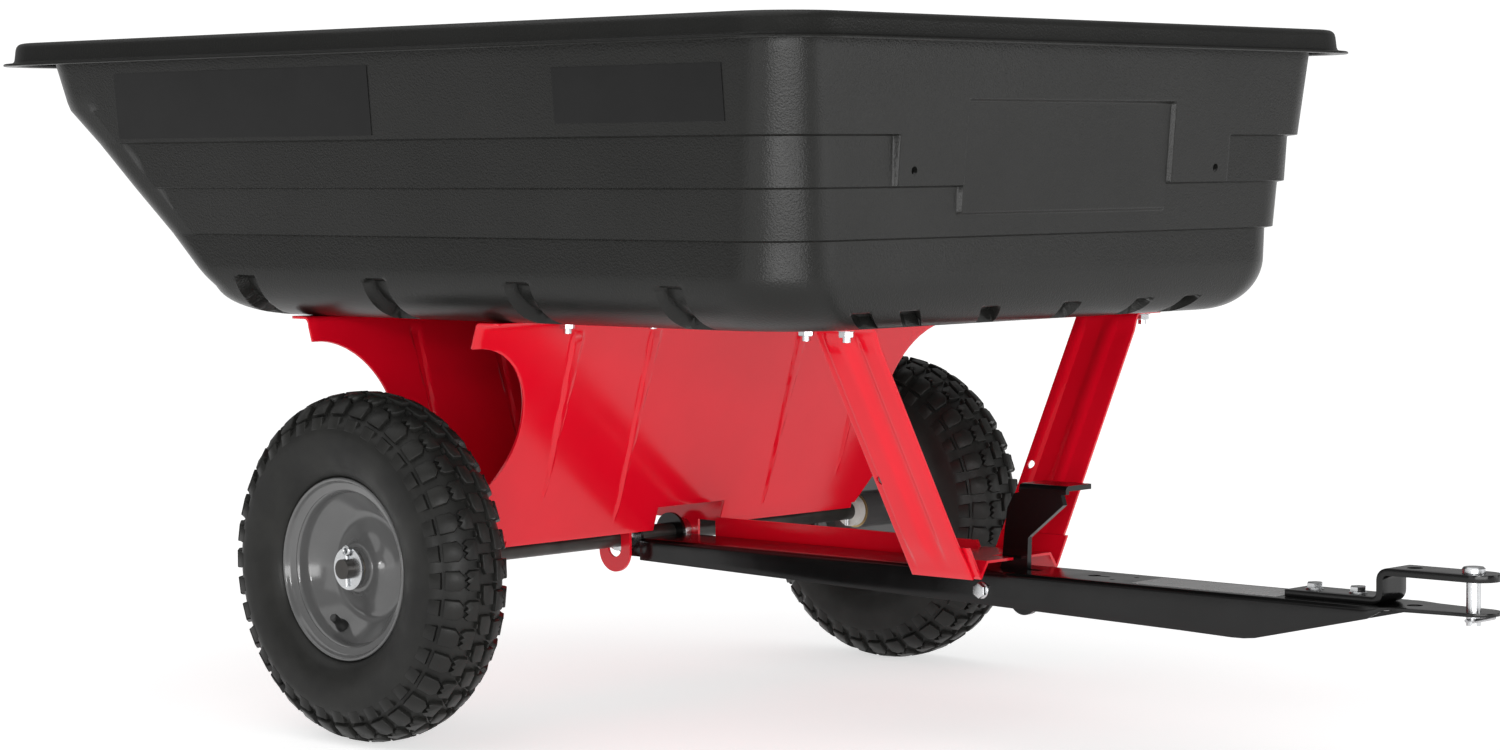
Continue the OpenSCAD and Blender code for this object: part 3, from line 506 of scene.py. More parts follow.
def wall_ring(z, t):
    """A level of the wall, t millimetres inside its outer face."""
    if z >= LEDGE_3 - 1:
        crease = -(slant_x(min(z, CREASE_TOP)) - CREASE_AHEAD)
        inset = side_inset(z)
        return tub_ring(z, rear_wall(z) - 1.35 * t, WALL_FRONT - t, WALL_SIDE - t,
                        WALL_R + 0.5 * inset - t / 2, REAR_R - t / 2, crease,
                        lambda y: front_inset(z, y), inset, corner_post_inset(z))
    depth = (LEDGE_3 - z) / (LEDGE_3 - TUB_BOTTOM)
    half = side_wall(z)
    front = front_wall(z)
    r = 65 + 8 * depth - t / 2
    r_rear = mix(REAR_R, REAR_LOW_R, depth)
    crease = -(slant_x(max(z, 440)) - CREASE_AHEAD)
    ring = tub_ring(z, rear_wall(z) - 1.35 * t, front - t, half - t, r, r_rear - t / 2, crease,
                    lambda y: 0.0, 0.0, 0.0)
    squeeze = front_squeeze(half - t - r)
    low = clamp((CURVE_Z - z) / (CURVE_Z - TUB_BOTTOM))
    tilt_angle = math.atan2(low, max(1e-3, low_curve(z, CURVE_Z)) * 1.1)
    lift = t * depth ** 3
    back_x, back_y = r_rear - rear_wall(z), half - r_rear
    out = []
    for x, y, zz in ring:
        push = flute_push(x, y, z, half, front, squeeze)
        if x > front - 40 and abs(y) < half - 60:
            away = Vector((1, 0))
        elif x < back_x:
            away = Vector((x - back_x, math.copysign(max(abs(y) - back_y, 0.1), y))).normalized()
        else:
            away = Vector((0, math.copysign(1, y)))
        away *= push * math.cos(tilt_angle)
        out.append((x - away.x, y - away.y, zz + lift + push * math.sin(tilt_angle)))
    return out


def rim_ring(z, inside):
    """A level of the rim, set in from the lip's outer edge."""
    r = LIP_R - 0.7 * inside
    return tub_ring(z, LIP_REAR - inside, LIP_FRONT - inside, LIP_SIDE - inside, r, r,
                    -(slant_x(CREASE_TOP) - CREASE_AHEAD), lambda y: 0.0, 0.0, 0.0)


def neck_ring(z, t):
    """The top of the wall, under and inside the rim."""
    r = WALL_R - t / 2
    return tub_ring(z, slant_x(WALL_TOP) + 6 - t, WALL_FRONT - t, WALL_SIDE - t, r, r,
                    -(slant_x(CREASE_TOP) - CREASE_AHEAD), lambda y: 0.0, 0.0, 0.0)


def tub_levels():
    """Heights of the wall's rings, close together at the low curve and at each ledge."""
    levels = [TUB_BOTTOM, 405.2, 405.6, 406.4, 407.6, 409, 410.7, 412.7, 415, 417, 418.5, 420, 421.5,
              423, 425, 428, 431, 434, 437, 439.5, 441, 442.5, 444, 446, 449, 452, CURVE_Z, 463,
              471, 478, 483]
    for ledge in (LEDGE_3, LEDGE_2, LEDGE_1):
        levels += [ledge + d for d in (-0.9, -0.5, -0.15, 0.15, 0.5, 0.9, 2.5)]
        levels += [ledge + 12, ledge + 28, ledge + 40]
    for edge in (PANEL_LOW, PANEL_TOP):
        levels += [edge + d for d in (-3, -2, -1.4, -0.7, 0, 0.7, 1.4, 2, 3)]
    levels += [CREASE_TOP, 630, 640, 650, WALL_TOP]
    return sorted(levels)


def floor_ring(t):
    """The flat floor's inner ring, t millimetres above the underside."""
    return [(x * FLOOR_SCALE, y * FLOOR_SCALE, TUB_BOTTOM + t) for x, y, _ in wall_ring(TUB_BOTTOM, t)]


def make_tub():
    """One closed loft: up the outside, out and over the rolled rim, and down the inside."""
    levels = tub_levels()
    under = TUB_TOP - WALL
    neck_outside = [(under - 3, 0), (under - 0.8, -0.8), (under, -3)]
    rim_underside = [(under, LIP + WALL + 3), (under - 0.8, LIP + WALL + 0.8), (under - 3, LIP + WALL),
                     (WALL_TOP + 2, LIP + WALL), (WALL_TOP + 0.3, LIP + WALL - 1.7)]
    lip = [(WALL_TOP, 6.0), (WALL_TOP, 0.8), (WALL_TOP + 0.5, 0.15), (WALL_TOP + 1.2, 0.0),
           (WALL_TOP + 2.2, 0.4), (WALL_TOP + 2.8, 1.5), (WALL_TOP + 3.4, LIP - 2.6),
           (WALL_TOP + 4.4, LIP - 0.8), (WALL_TOP + 6.5, LIP)]
    rim_top = [(TUB_TOP - 7, LIP + 1.2), (TUB_TOP - 4.2, LIP + 1.9), (TUB_TOP - 2, LIP + 3.4),
               (TUB_TOP - 0.6, LIP + 5.6), (TUB_TOP, LIP + 8.5)]
    neck_inside = [(TUB_TOP, -4), (TUB_TOP - 0.6, -1.4), (TUB_TOP - 2, 0.8), (TUB_TOP - 4.5, 2.6),
                   (TUB_TOP - 9, WALL)]
    rings = [floor_ring(0)] + [wall_ring(z, 0) for z in levels]
    rings += [neck_ring(z, t) for z, t in neck_outside]
    rings += [rim_ring(z, inside) for z, inside in rim_underside + lip + rim_top]
    rings += [neck_ring(z, t) for z, t in neck_inside]
    rings += [wall_ring(z, WALL) for z in reversed(levels)] + [floor_ring(WALL)]
    points, faces = loft(rings)
    per = len(rings[0])
    n = len(rings)
    faces.append(tuple(range(per)))
    faces.append(tuple(range((n - 1) * per, n * per)))
    tub = new_piece("tub_shell", points, faces, "bed", "tub_plastic", ("tub",), sharp=42)
    for side in (-1, 1):
        hole = circle(FRONT_HOLE_Y * side, FRONT_HOLE_Z, FRONT_HOLE_R, 16)
        cut(tub, *prism(hole, WALL_FRONT - 40, WALL_FRONT + 20, 0))


# ---------- Wheels ----------

# Middle of a wheel, its tyre over the tread, its bead seat and its rim
WHEEL_Y = 385.0
TYRE_R, TYRE_HALF_W = 169.0, 46.0
BEAD_R, RIM_R, RIM_HALF_W = 76.2, 88.0, 35.0
# Depth of the tread's blocks, and how often their pattern repeats round the tyre
KNOB = 4.6
PITCHES = 36
TYRE_SEGMENTS, RIM_SEGMENTS = 180, 144


def oval(angle, inset=0.0):
    """Radius and side distance of the tyre's section, 90 degrees at the tread."""
    mid, half_h, half_w = (TYRE_R + BEAD_R) / 2, (TYRE_R - BEAD_R) / 2 - inset, TYRE_HALF_W - inset
    s, c = math.sin(math.radians(angle)), math.cos(math.radians(angle))
    return (mid + half_h * math.copysign(abs(s) ** 0.85, s),
            half_w * math.copysign(abs(c) ** 0.85, c))


def carcass_inset(angle):
    """The casing lies a knob's height under the tread, and flush in the sidewall."""
    return KNOB * smooth((angle - 10) / 22)


def around(r, w, turn, side):
    """A point of the wheel on a side, from its radius, side distance and angle."""
    a = math.radians(turn)
    return (r * math.cos(a), side * (WHEEL_Y + w), AXLE_Z + r * math.sin(a))


def tread_point(run, w, depth, side, turn):
    """A point of the tread: run and w in millimetres round and across it, depth below its top."""
    angle = 90.0
    for _ in range(24):
        r, x = oval(angle)
        angle += (x - w) * 0.9
        angle = max(0.0, min(180.0, angle))
    r, x = oval(angle)
    n = Vector((math.sin(math.radians(angle)), math.cos(math.radians(angle))))
    return around(r - n.x * depth, x - n.y * depth, turn + math.degrees(run / TYRE_R), side)


def zigzag(x0, x1, run_half, teeth=3, depth=1.8):
    """A block with one straight side at x0 and one toothed side near x1."""
    points = [(-run_half, x0), (run_half, x0)]
    for k in range(2 * teeth + 1):
        run = mix(run_half, -run_half, k / (2 * teeth))
        points.append((run, x1 + (depth if k % 2 else -depth)))
    return points


def knob_outlines():
    """Block outlines over one pitch, each with its angle along the tread."""
    shoulder = [(-9.8, 39.4), (-9.8, 29.5), (-4.6, 25.4), (4.6, 25.4), (9.8, 29.5), (9.8, 39.4)]
    middle = zigzag(11.0, 22.6, 9.8)
    edge = [(-8.6, 45.2), (-8.6, 41.4), (8.6, 41.4), (8.6, 45.2)]
    centre = [(-9.6, -6.4), (-9.6, 3.6), (-3.6, 6.4), (9.6, 6.4), (9.6, -3.6), (3.6, -6.4)]
    spur = [(-2.6, 9.2), (-2.6, 11.0), (2.6, 11.0), (2.6, 9.2)]
    half = 180.0 / PITCHES
    blocks = [(centre, half)]
    for mirror in (1, -1):
        shift = 0.0 if mirror > 0 else half * 0.5
        for outline, turn in ((shoulder, 0.0), (middle, 0.0), (edge, 0.0), (spur, half)):
            blocks.append(([(run, w * mirror) for run, w in outline], turn + shift))
    return blocks


def block_mesh(outline, side, turn):
    """One rubber block: a buried foot, straight sides and a top with softened edges."""
    n = len(outline)
    cr = sum(p[0] for p in outline) / n
    cw = sum(p[1] for p in outline) / n
    rings = []
    for grow, depth in ((0.9, KNOB + 2.5), (0.5, KNOB - 0.6), (0.0, 1.1), (-0.35, 0.35), (-1.1, 0.0)):
        ring = []
        for run, w in outline:
            away = Vector((run - cr, w - cw))
            size = away.length or 1.0
            scale = (size + grow) / size
            ring.append(tread_point(cr + away.x * scale, cw + away.y * scale, depth, side, turn))
        rings.append(ring)
    points, faces = loft(rings)
    faces.append(tuple(range((len(rings) - 1) * n, len(rings) * n)))
    return points, faces


def revolve(section, side, segments):
    """A closed section of radius and side distance, turned about a wheel's axis."""
    rings = [[around(r, w, 360 * k / segments, side) for r, w in section] for k in range(segments)]
    return loft(rings + rings[:1])


def make_rim(side, word):
    """The pressed outer rim half: its rolled lip, the dish with the hub's cone, and the back."""
    lip = [(RIM_R, 32.4), (RIM_R, 33.6), (RIM_R - 0.5, 34.5), (RIM_R - 1.6, 35.0),
           (RIM_R - 2.8, 34.6), (RIM_R - 3.6, 33.4), (RIM_R - 4.2, 31.4), (RIM_R - 5.6, 29.4),
           (RIM_R - 8.0, 28.2), (RIM_R - 10.8, 27.4), (RIM_R - 13.0, 26.0), (RIM_R - 13.9, 23.8),
           (RIM_R - 14.3, 19.0), (RIM_R - 14.9, 15.8), (RIM_R - 16.3, 13.5)]
    floor = [(56.5, 2.4), (54.2, 0.6), (52.0, -0.6), (50.2, -1.2), (48.0, -1.3), (45.8, -1.0),
             (43.0, -0.2), (39.0, 1.3), (34.5, 3.4), (31.0, 5.6), (28.0, 8.2), (25.6, 11.4),
             (24.2, 14.4), (23.6, 16.4), (22.8, 17.2), (20.1, 17.2)]
    back = [(20.1, 12.5), (21.4, 11.5), (23.5, 8.2), (28.0, 3.8), (34.0, 0.2), (41.0, -2.8),
            (44.0, -3.9), (52.0, -3.9), (55.0, -2.4), (75.2, 12.6), (76.0, 15.0), (76.1, 27.6),
            (78.0, 28.6), (85.0, 29.8), (87.4, 31.2)]
    points, faces = revolve(lip + floor + back, side, RIM_SEGMENTS)
    new_piece(f"rim_dish_{word}", points, faces, f"wheel_{word}", "rim_paint",
              (f"rim_outer_{word}",), sharp=60)


def make_tyre(side, word):
    """The casing with its two fine sidewall ridges, and the tread's blocks round it."""
    bead = [(RIM_R + 2.2, RIM_HALF_W + 0.4), (RIM_R + 1.0, RIM_HALF_W - 1.6),
            (RIM_R + 0.6, RIM_HALF_W - 2.6), (RIM_R - 2, RIM_HALF_W - 5.7),
            (BEAD_R + 0.8, RIM_HALF_W - 7.1), (BEAD_R + 0.2, RIM_HALF_W - 7.6),
            (BEAD_R + 0.2, RIM_HALF_W - 20), (BEAD_R + 3, RIM_HALF_W - 21)]
    half = [oval(a, carcass_inset(a)) for a in range(90, -39, -4)]
    ridges = []
    for r, w in half:
        line = 0.7 * math.exp(-((r - 97.0) / 1.6) ** 2) + 0.6 * math.exp(-((r - 140.0) / 1.3) ** 2)
        ridges.append((r, w + line))
    section = ridges + bead
    section += [(r, -w) for r, w in reversed(section)]
    points, faces = revolve(section[:-1], side, TYRE_SEGMENTS)
    for k in range(PITCHES):
        for outline, turn in knob_outlines():
            more, sides = block_mesh(outline, side, 360 * k / PITCHES + turn)
            start = len(points)
            points += more
            faces += [tuple(i + start for i in face) for face in sides]
    new_piece(f"tyre_tread_{word}", points, faces, f"wheel_{word}", "tyre_rubber",
              (f"tyre_{word}",), sharp=48)


# ---------- Saddle ----------

# Thickness of the frame's sheet, the walls' lean, and the walls' foot
SHEET = 2.5
LEAN = math.tan(math.radians(17.7))
FOOT_X, FOOT_Z = 53.0, 180.0
# The flange under the tub, the notch over the rail and the arch over each wheel
FLANGE_Z = TUB_BOTTOM - SHEET
FLANGE_X = 150.0
NOTCH_Y, NOTCH_Z = 49.3, 204.0
ARCH_Y, ARCH_Z, ARCH_R = 347.5, 302.0, 78.0
SADDLE_HALF = 355.0
# Half the wall's width at its foot and where it has spread, and that height
FOOT_HALF, SPREAD_HALF, SPREAD_Z = 256.0, 300.0, 240.0
# The small slot in the middle of the wall's upper edge: radius, centre and top
NICK_R, NICK_Z, NICK_TOP = 4.5, 390.5, 397
# Upright pressed ribs: how far each is from the middle, and its foot
RIBS = ((110.0, 195.0), (218.0, 224.0))
RIB_TOP, RIB_HEIGHT = 392.0, 3.0
BEND_Z = 398.5


def wall_edge(z):
    """Half the width of a saddle wall at height z."""
    if z < SPREAD_Z:
        return mix(FOOT_HALF, SPREAD_HALF, (z - FOOT_Z) / (SPREAD_Z - FOOT_Z))
    if z < ARCH_Z + ARCH_R - 0.01:
        return ARCH_Y - math.sqrt(max(0.0, ARCH_R ** 2 - (z - ARCH_Z) ** 2))
    return SADDLE_HALF - 2 * smooth((z - 396) / 8)


def rib_height(y, z):
    """How far the ribs stand out of a saddle wall; they widen upwards."""
    height = 0.0
    for rib_y, foot in RIBS:
        along = clamp((z - foot) / (RIB_TOP - foot))
        if not 0 < along < 1:
            continue
        half = mix(2.0, 8.5, along)
        off = abs(abs(y) - rib_y)
        height = max(height, RIB_HEIGHT * smooth((half - off) / 3.2) * smooth(along * 14)
                     * smooth((1 - along) * 16))
    return height


def saddle_columns():
    """Where a saddle's points lie across it, close together at the ribs."""
    ys = [0.0, 12, 24, 36, NOTCH_Y, 60, 74, 88]
    for rib_y, _ in RIBS:
        ys += [rib_y + d for d in (-11, -8.5, -7, -5.5, -4, -2.5, -1, 0, 1, 2.5, 4, 5.5, 7, 8.5, 11)]
    ys += [134, 150, 166, 182, 196, 238, 248, FOOT_HALF]
    return sorted(ys)


def make_saddle(word, sign):
    """A leaning wall with ribs, notch and arches, bent outward into a flange under the tub."""
    inner = saddle_columns()
    outer = [k / 8 for k in range(1, 9)]
    zs = [FOOT_Z, 186, 192, 198, NOTCH_Z] + [NOTCH_Z + 6 * k for k in range(1, 29)]
    zs = [z for z in zs if z < 376] + [376, 378, 379, 379.6, 379.9, 380.0, 383, 387, 391, 395, BEND_Z]
    points, faces, index = [], [], {}

    def vertex(x, y, z):
        key = (round(x, 3), round(y, 3), round(z, 3))
        if key not in index:
            index[key] = len(points)
            points.append((sign * x, y, z))
        return index[key]

    def row(z, flange=None):
        """A row up the wall, or one of the bend and flange at (x, height, shrink)."""
        edge = wall_edge(z) if flange is None else SADDLE_HALF - flange[2]
        ys = inner + [mix(FOOT_HALF, edge, t) for t in outer]
        base = FOOT_X + (z - FOOT_Z) * LEAN
        out = []
        for y in [-y for y in reversed(ys) if y > 0] + ys:
            if flange is None:
                out.append((base + rib_height(y, z), y, z))
            else:
                out.append((flange[0], y, flange[1]))
        return out
    rows = [row(z) for z in zs]
    bend_x = FOOT_X + (BEND_Z - FOOT_Z) * LEAN
    rows.append(row(400, (bend_x + 1.1, 401.0, 0)))
    rows.append(row(401, (bend_x + 2.6, 402.2, 0)))
    rows.append(row(402, (bend_x + 5, FLANGE_Z, 0)))
    for x, shrink in ((FLANGE_X - 8, 0), (FLANGE_X - 3, 1), (FLANGE_X - 0.8, 3), (FLANGE_X, 7)):
        rows.append(row(402, (x, FLANGE_Z, shrink)))
    for i in range(len(rows) - 1):
        for k in range(len(rows[i]) - 1):
            y0, y1 = rows[i][k][1], rows[i][k + 1][1]
            if i < 4 and max(abs(y0), abs(y1)) <= NOTCH_Y + 0.01:
                continue
            faces.append(tuple(vertex(*p) for p in (rows[i][k], rows[i][k + 1],
                                                    rows[i + 1][k + 1], rows[i + 1][k])))
    piece = new_piece(f"saddle_sheet_{word}", points, faces, "bed", "red_paint",
                      (f"saddle_{word}",), sharp=60)
    thicken_behind(piece, SHEET, (sign * 90, 160, 300), (sign, 0, 0), 0.5)
    nick = arc(0, NICK_Z, NICK_R, 180, 360, 8) + [(NICK_R, NICK_TOP), (-NICK_R, NICK_TOP)]
    low, high = sorted((sign * 100.0, sign * 135.0))
    cut(piece, *prism(nick, low, high, 0))


# ---------- Braces ----------

# Rear edge and width of a brace, its foot, its rise, its flange's end and its bend
BRACE_X, BRACE_W, BRACE_FOOT_Y, BRACE_FOOT_Z = 408.0, 74.5, 60.0, 162.0
BRACE_RISE = math.tan(math.radians(30.1))
BRACE_FLANGE_Y = 235.0
BRACE_BEND_Z = 399.5
# A hole near its rear edge: how far ahead of that edge, height and radius
BRACE_HOLE_X, BRACE_HOLE_Z, BRACE_HOLE_R = 7, 256, 4


def brace_relief(u, z):
    """The pressed rib that stiffens a brace; it dies away towards both ends."""
    rib = 5.0 * smooth((u - 8) / 5) * (1 - smooth((u - 30) / 15))
    edge = 2.6 * smooth((u - 47) / 7)
    fade = smooth((z - BRACE_FOOT_Z - 8) / 30) * smooth((FLANGE_Z - 4 - z) / 12)
    return (rib + edge) * fade


def make_brace(side, word):
    """A sloping brace from the bridge up to its flange under the tub."""
    us = [0, 3, 6, 8, 9.5, 11, 12.5, 14, 18, 22, 26, 31, 34, 37, 40, 43, 46, 48, 50, 52, 54, 60, 67,
          BRACE_W]
    rows = []
    zs = [BRACE_FOOT_Z + 8 * k for k in range(30)]
    for z in [z for z in zs if z < 396] + [398, BRACE_BEND_Z]:
        y = BRACE_FOOT_Y + (z - BRACE_FOOT_Z) * BRACE_RISE
        rows.append([(BRACE_X + u, side * (y + brace_relief(u, z)), z) for u in us])
    top_y = BRACE_FOOT_Y + (BRACE_BEND_Z - BRACE_FOOT_Z) * BRACE_RISE
    for y, z in ((top_y + 1.1, 401.0), (top_y + 2.6, 402.1), (top_y + 4.5, FLANGE_Z),
                 (225.0, FLANGE_Z), (BRACE_FLANGE_Y, FLANGE_Z)):
        rows.append([(BRACE_X + u, side * y, z) for u in us])
    points, faces = sheet_faces(rows)
    brace = new_piece(f"brace_pressed_{word}", points, faces, "bed", "red_paint",
                      (f"brace_{word}",), sharp=50)
    middle_y = BRACE_FOOT_Y + 120 * BRACE_RISE
    thicken_behind(brace, SHEET, (BRACE_X + 60, side * middle_y, BRACE_FOOT_Z + 120),
                   (0, side, -0.5), 0.5)
    hole = circle(BRACE_X + BRACE_HOLE_X, BRACE_HOLE_Z, BRACE_HOLE_R, 16)
    low, high = sorted((side * 95.0, side * 135.0))
    cut(brace, *prism(hole, low, high, 1))


# ---------- Tongue and hitch ----------

# The channel's half width, the height of its top and its sheet's thickness
TONGUE_HALF, TONGUE_Z, TONGUE_T = 36.0, 168.5, 3.0
BEND_R = 4.5
# Its rear end, where its side flanges end, and the centre and radius of its round nose
TONGUE_X, FLANGE_END, TIP_X, TIP_R = 20.5, 900.0, 988.0, 20.0
# Lower edge of the flanges and half width of the nose, along the tongue
FLANGE_FOOT = [(TONGUE_X, 146.0), (700, 131.6), (735, 130.6), (758, 129.9), (772, 130.1), (784, 131.4),
               (798, 134.6), (FLANGE_END, 158.0), (912, 165.0), (922, TONGUE_Z)]
NOSE_HALF = [(FLANGE_END, TONGUE_HALF), (935, 26.0), (975, 20.6), (TIP_X, TIP_R)]
# The bent strap: half its width, its thickness, its riser, its upper arm's underside and its ends
STRAP_HALF, STRAP_T, RISER_X, STRAP_Z = 19.0, 6.3, 905.0, 194.7
STRAP_X, STRAP_TIP_X = 804.0, 1008.0
# Hitch holes: x along the cart, and radius
SPARE_HOLE = (925.7, 7.0)
PIN_HOLE = (984.0, 6.5)
# Keyhole and slot in the tongue's top, the rivet holes and the blank label
KEY_X, KEY_R, KEY_END, KEY_HALF = 579, 6, 597, 2
SLOT_X, SLOT_END, SLOT_HALF = 466, 516, 5
RIVET_HOLES = ((611, -15), (619, 12))
RIVET_R = 2.5
LABEL_X, LABEL_END, LABEL_Y, LABEL_R = 643, 796, 22, 3


def tongue_row(x, half):
    """Across the channel at x, from one flange's foot over the top to the other's."""
    r = BEND_R * (1 - smooth((x - FLANGE_END) / 14))
    foot = min(lookup(FLANGE_FOOT, x), TONGUE_Z - r)
    side = [(half, mix(foot, TONGUE_Z - r, t)) for t in (0.0, 0.33, 0.67)]
    side += [(half - r + dy, TONGUE_Z - r + dz) for dy, dz in arc(0, 0, r, 0, 90)]
    side += [((half - r) * t, TONGUE_Z) for t in (0.7, 0.35)]
    return [(x, -y, z) for y, z in side] + [(x, 0, TONGUE_Z)] + [(x, y, z) for y, z in reversed(side)]


def box_outline(x0, x1, half):
    """A rectangle from x0 to x1, centred across."""
    return [(x0, -half), (x1, -half), (x1, half), (x0, half)]


def make_tongue():
    """The folded channel with its long nose, and the holes in its top."""
    xs = [TONGUE_X] + [40 + 30 * k for k in range(22)]
    xs += [700, 720, 735, 750, 758, 765, 772, 778, 784, 791, 798, 820, 850, 880, 890, FLANGE_END]
    xs += [904, 908, 912, 918, 925, 935, 948, 960, 970, 980]
    rows = [tongue_row(x, lookup(NOSE_HALF, x)) for x in sorted(set(xs))]
    for turn in range(0, 91, 6):
        a = math.radians(min(turn, 88))
        rows.append(tongue_row(TIP_X + TIP_R * math.sin(a), TIP_R * math.cos(a)))
    tongue = new_piece("tongue_channel", *sheet_faces(rows), "chassis", "black_paint", ("tongue",))
    thicken_behind(tongue, TONGUE_T, (400, 0, TONGUE_Z), (0, 0, 1), even=False)
    holes = [circle(KEY_X, 0, KEY_R), box_outline(KEY_X, KEY_END, KEY_HALF),
             box_outline(SLOT_X, SLOT_END, SLOT_HALF)]
    holes += [circle(x, 0, r) for x, r in (SPARE_HOLE, PIN_HOLE)]
    holes += [circle(x, y, RIVET_R) for x, y in RIVET_HOLES]
    for outline in holes:
        cut(tongue, *prism(outline, 160.0, 175.0, 2))


def make_strap():
    """The hitch strap, bent up and forward again over the tongue's nose."""
    outer = BEND_R + STRAP_T
    seat_z = TONGUE_Z + 0.1
    path = [(STRAP_X, seat_z), (835, seat_z), (865, seat_z)]
    path += arc(RISER_X - outer, seat_z + outer, outer, -90, 0, 8)
    path += arc(RISER_X + BEND_R, STRAP_Z - BEND_R, BEND_R, 180, 90, 6)
    path += [(940, STRAP_Z), (965, STRAP_Z)]
    tip = STRAP_TIP_X - STRAP_HALF
    across = (-1, -0.5, 0, 0.5, 1)
    rows = [[(x, STRAP_HALF * t, z) for t in across] for x, z in path]
    for turn in range(0, 91, 6):
        a = math.radians(min(turn, 88))
        rows.append([(tip + STRAP_HALF * math.sin(a), STRAP_HALF * math.cos(a) * t, STRAP_Z)
                     for t in across])
    strap = new_piece("hitch_strap_bent", *sheet_faces(rows), "chassis", "black_paint",
                      ("hitch_strap",))
    thicken_behind(strap, STRAP_T, (940, 0, STRAP_Z), (0, 0, -1), 0.7)
    for x, r in (SPARE_HOLE, PIN_HOLE):
        cut(strap, *prism(circle(x, 0, r), 190.0, 205.0, 2))


def make_label():
    """A blank label film on the tongue's top."""
    corners = []
    for k, (x, y) in enumerate(((LABEL_END, LABEL_Y), (LABEL_X, LABEL_Y),
                                (LABEL_X, -LABEL_Y), (LABEL_END, -LABEL_Y))):
        corners += arc(x, y, LABEL_R, 90 * k, 90 * (k + 1), 3)
    new_piece("tongue_label_blank", *prism(corners, TONGUE_Z + 0.02, TONGUE_Z + 0.3, 2),
              "chassis", "label")


# ---------- Fasteners ----------

# Width across the flats of an M8 head
HEX = 13
# Where the bolts are: under the saddles' flanges, under the braces', through the strap and latch
FLANGE_BOLTS = [(x, y) for x in (-137, 137) for y in (-250, -133, 133, 250)]
BRACE_BOLTS = [(x, y) for x in (420, 469) for y in (-222, 222)]
HITCH_BOLT_XS = (823, 868)
LATCH_BOLT_X, LATCH_BOLT_Z = 473.3, 150.0


def fastener(base, axis, rings, loop=False):
    """Round and six-sided rings along an axis: ("round" or "hex", size, height)."""
    along = Vector(axis)
    across = Vector((0, 0, 1)) if abs(along.z) < 0.5 else Vector((1, 0, 0))
    other = along.cross(across)
    lofted = []
    for kind, size, height in rings:
        ring = []
        for k in range(24):
            a = math.radians(15 * k)
            r = size
            if kind == "hex":
                r = size / 2 / math.cos(math.radians((15 * k) % 60 - 30))
            p = Vector(base) + along * height + across * (r * math.cos(a)) + other * (r * math.sin(a))
            ring.append(tuple(p))
        lofted.append(ring)
    if loop:
        lofted.append(lofted[0])
    points, faces = loft(lofted)
    if not loop:
        faces += [tuple(range(24)), tuple(range((len(rings) - 1) * 24, len(rings) * 24))]
    return points, faces


def joined(name, shapes, body, slot_name, replaced):
    """One piece of several separate shapes."""
    points, faces = [], []
    for more, sides in shapes:
        start = len(points)
        points += more
        faces += [tuple(i + start for i in face) for face in sides]
    return new_piece(name, points, faces, body, slot_name, replaced, sharp=28)


def hex_head(height):
    """Rings of a flanged bolt head, from its seat up."""
    return [("round", HEX / 2 + 1.6, 0.0), ("round", HEX / 2 + 1.7, 0.5),
            ("round", HEX / 2 + 1.2, 1.1), ("hex", HEX, 1.3), ("hex", HEX, height - 0.9),
            ("hex", HEX * 0.93, height - 0.2), ("round", HEX * 0.36, height)]


def shank(length):
    """Rings of an M8 shank below its head."""
    return [("round", 3.4, -length), ("round", 4.0, 0.7 - length), ("round", 4.0, -0.01)]


def make_fasteners():
    nut = [("round", 4.05, 0.0), ("round", 8.3, 0.0), ("round", 8.4, 0.7), ("round", 7.6, 1.4),
           ("hex", HEX, 1.6), ("hex", HEX, 5.7), ("hex", 12.2, 6.4), ("round", 4.6, 6.5),
           ("round", 4.05, 6.1)]
    shapes = [fastener((x, y, FLANGE_Z - 0.02), (0, 0, -1), nut, loop=True)
              for x, y in FLANGE_BOLTS + BRACE_BOLTS]
    joined("tub_flange_nuts", shapes, "bed", "zinc_plate", ("tub_nuts",))
    top = TONGUE_Z + STRAP_T
    shapes = [fastener((x, 0, top + 0.1), (0, 0, 1), shank(21.3) + hex_head(6.4))
              for x in HITCH_BOLT_XS]
    joined("hitch_bolts_hex", shapes, "chassis", "zinc_plate", ("hitch_bolts",))
    shapes = [fastener((LATCH_BOLT_X, -TONGUE_HALF, LATCH_BOLT_Z), (0, -1, 0),
                       shank(81.5) + hex_head(5.6))]
    joined("latch_bolt_hex", shapes, "chassis", "zinc_plate", ("latch_bolt",))


# ---------- Studio ----------

# The camera's place in millimetres, its heading, dip and roll in degrees, and its lens
CAMERA_AT = (2587.4, -2631.2, 556.15)
CAMERA_TURN = (42.886, 3.450, -0.380)
LENS, SENSOR = 85.45, 36
# Soft boxes: name, place, target and size in metres, and power in watts
SOFT_BOXES = (
    ("side_box", (0.3, -2.7, 0.66), (0.3, 0, 0.55), (1.25, 1.25), 6),
    ("front_box", (3.6, 2.2, 0.9), (0.3, 0, 0.5), (2.0, 1.6), 22),
    ("corner_box", (2.15, -1.65, 0.34), (0.5, -0.3, 0.5), (2.7, 0.62), 32),
    ("rim_box", (1.9, -1.9, 0.79), (0.55, -0.4, 0.68), (0.7, 0.16), 9),
)
# How bright the world is for the object and for the camera, and half the floor's width
WORLD_LIGHT, WORLD_SEEN = 0.30, 1.1
FLOOR_REACH = 40.0


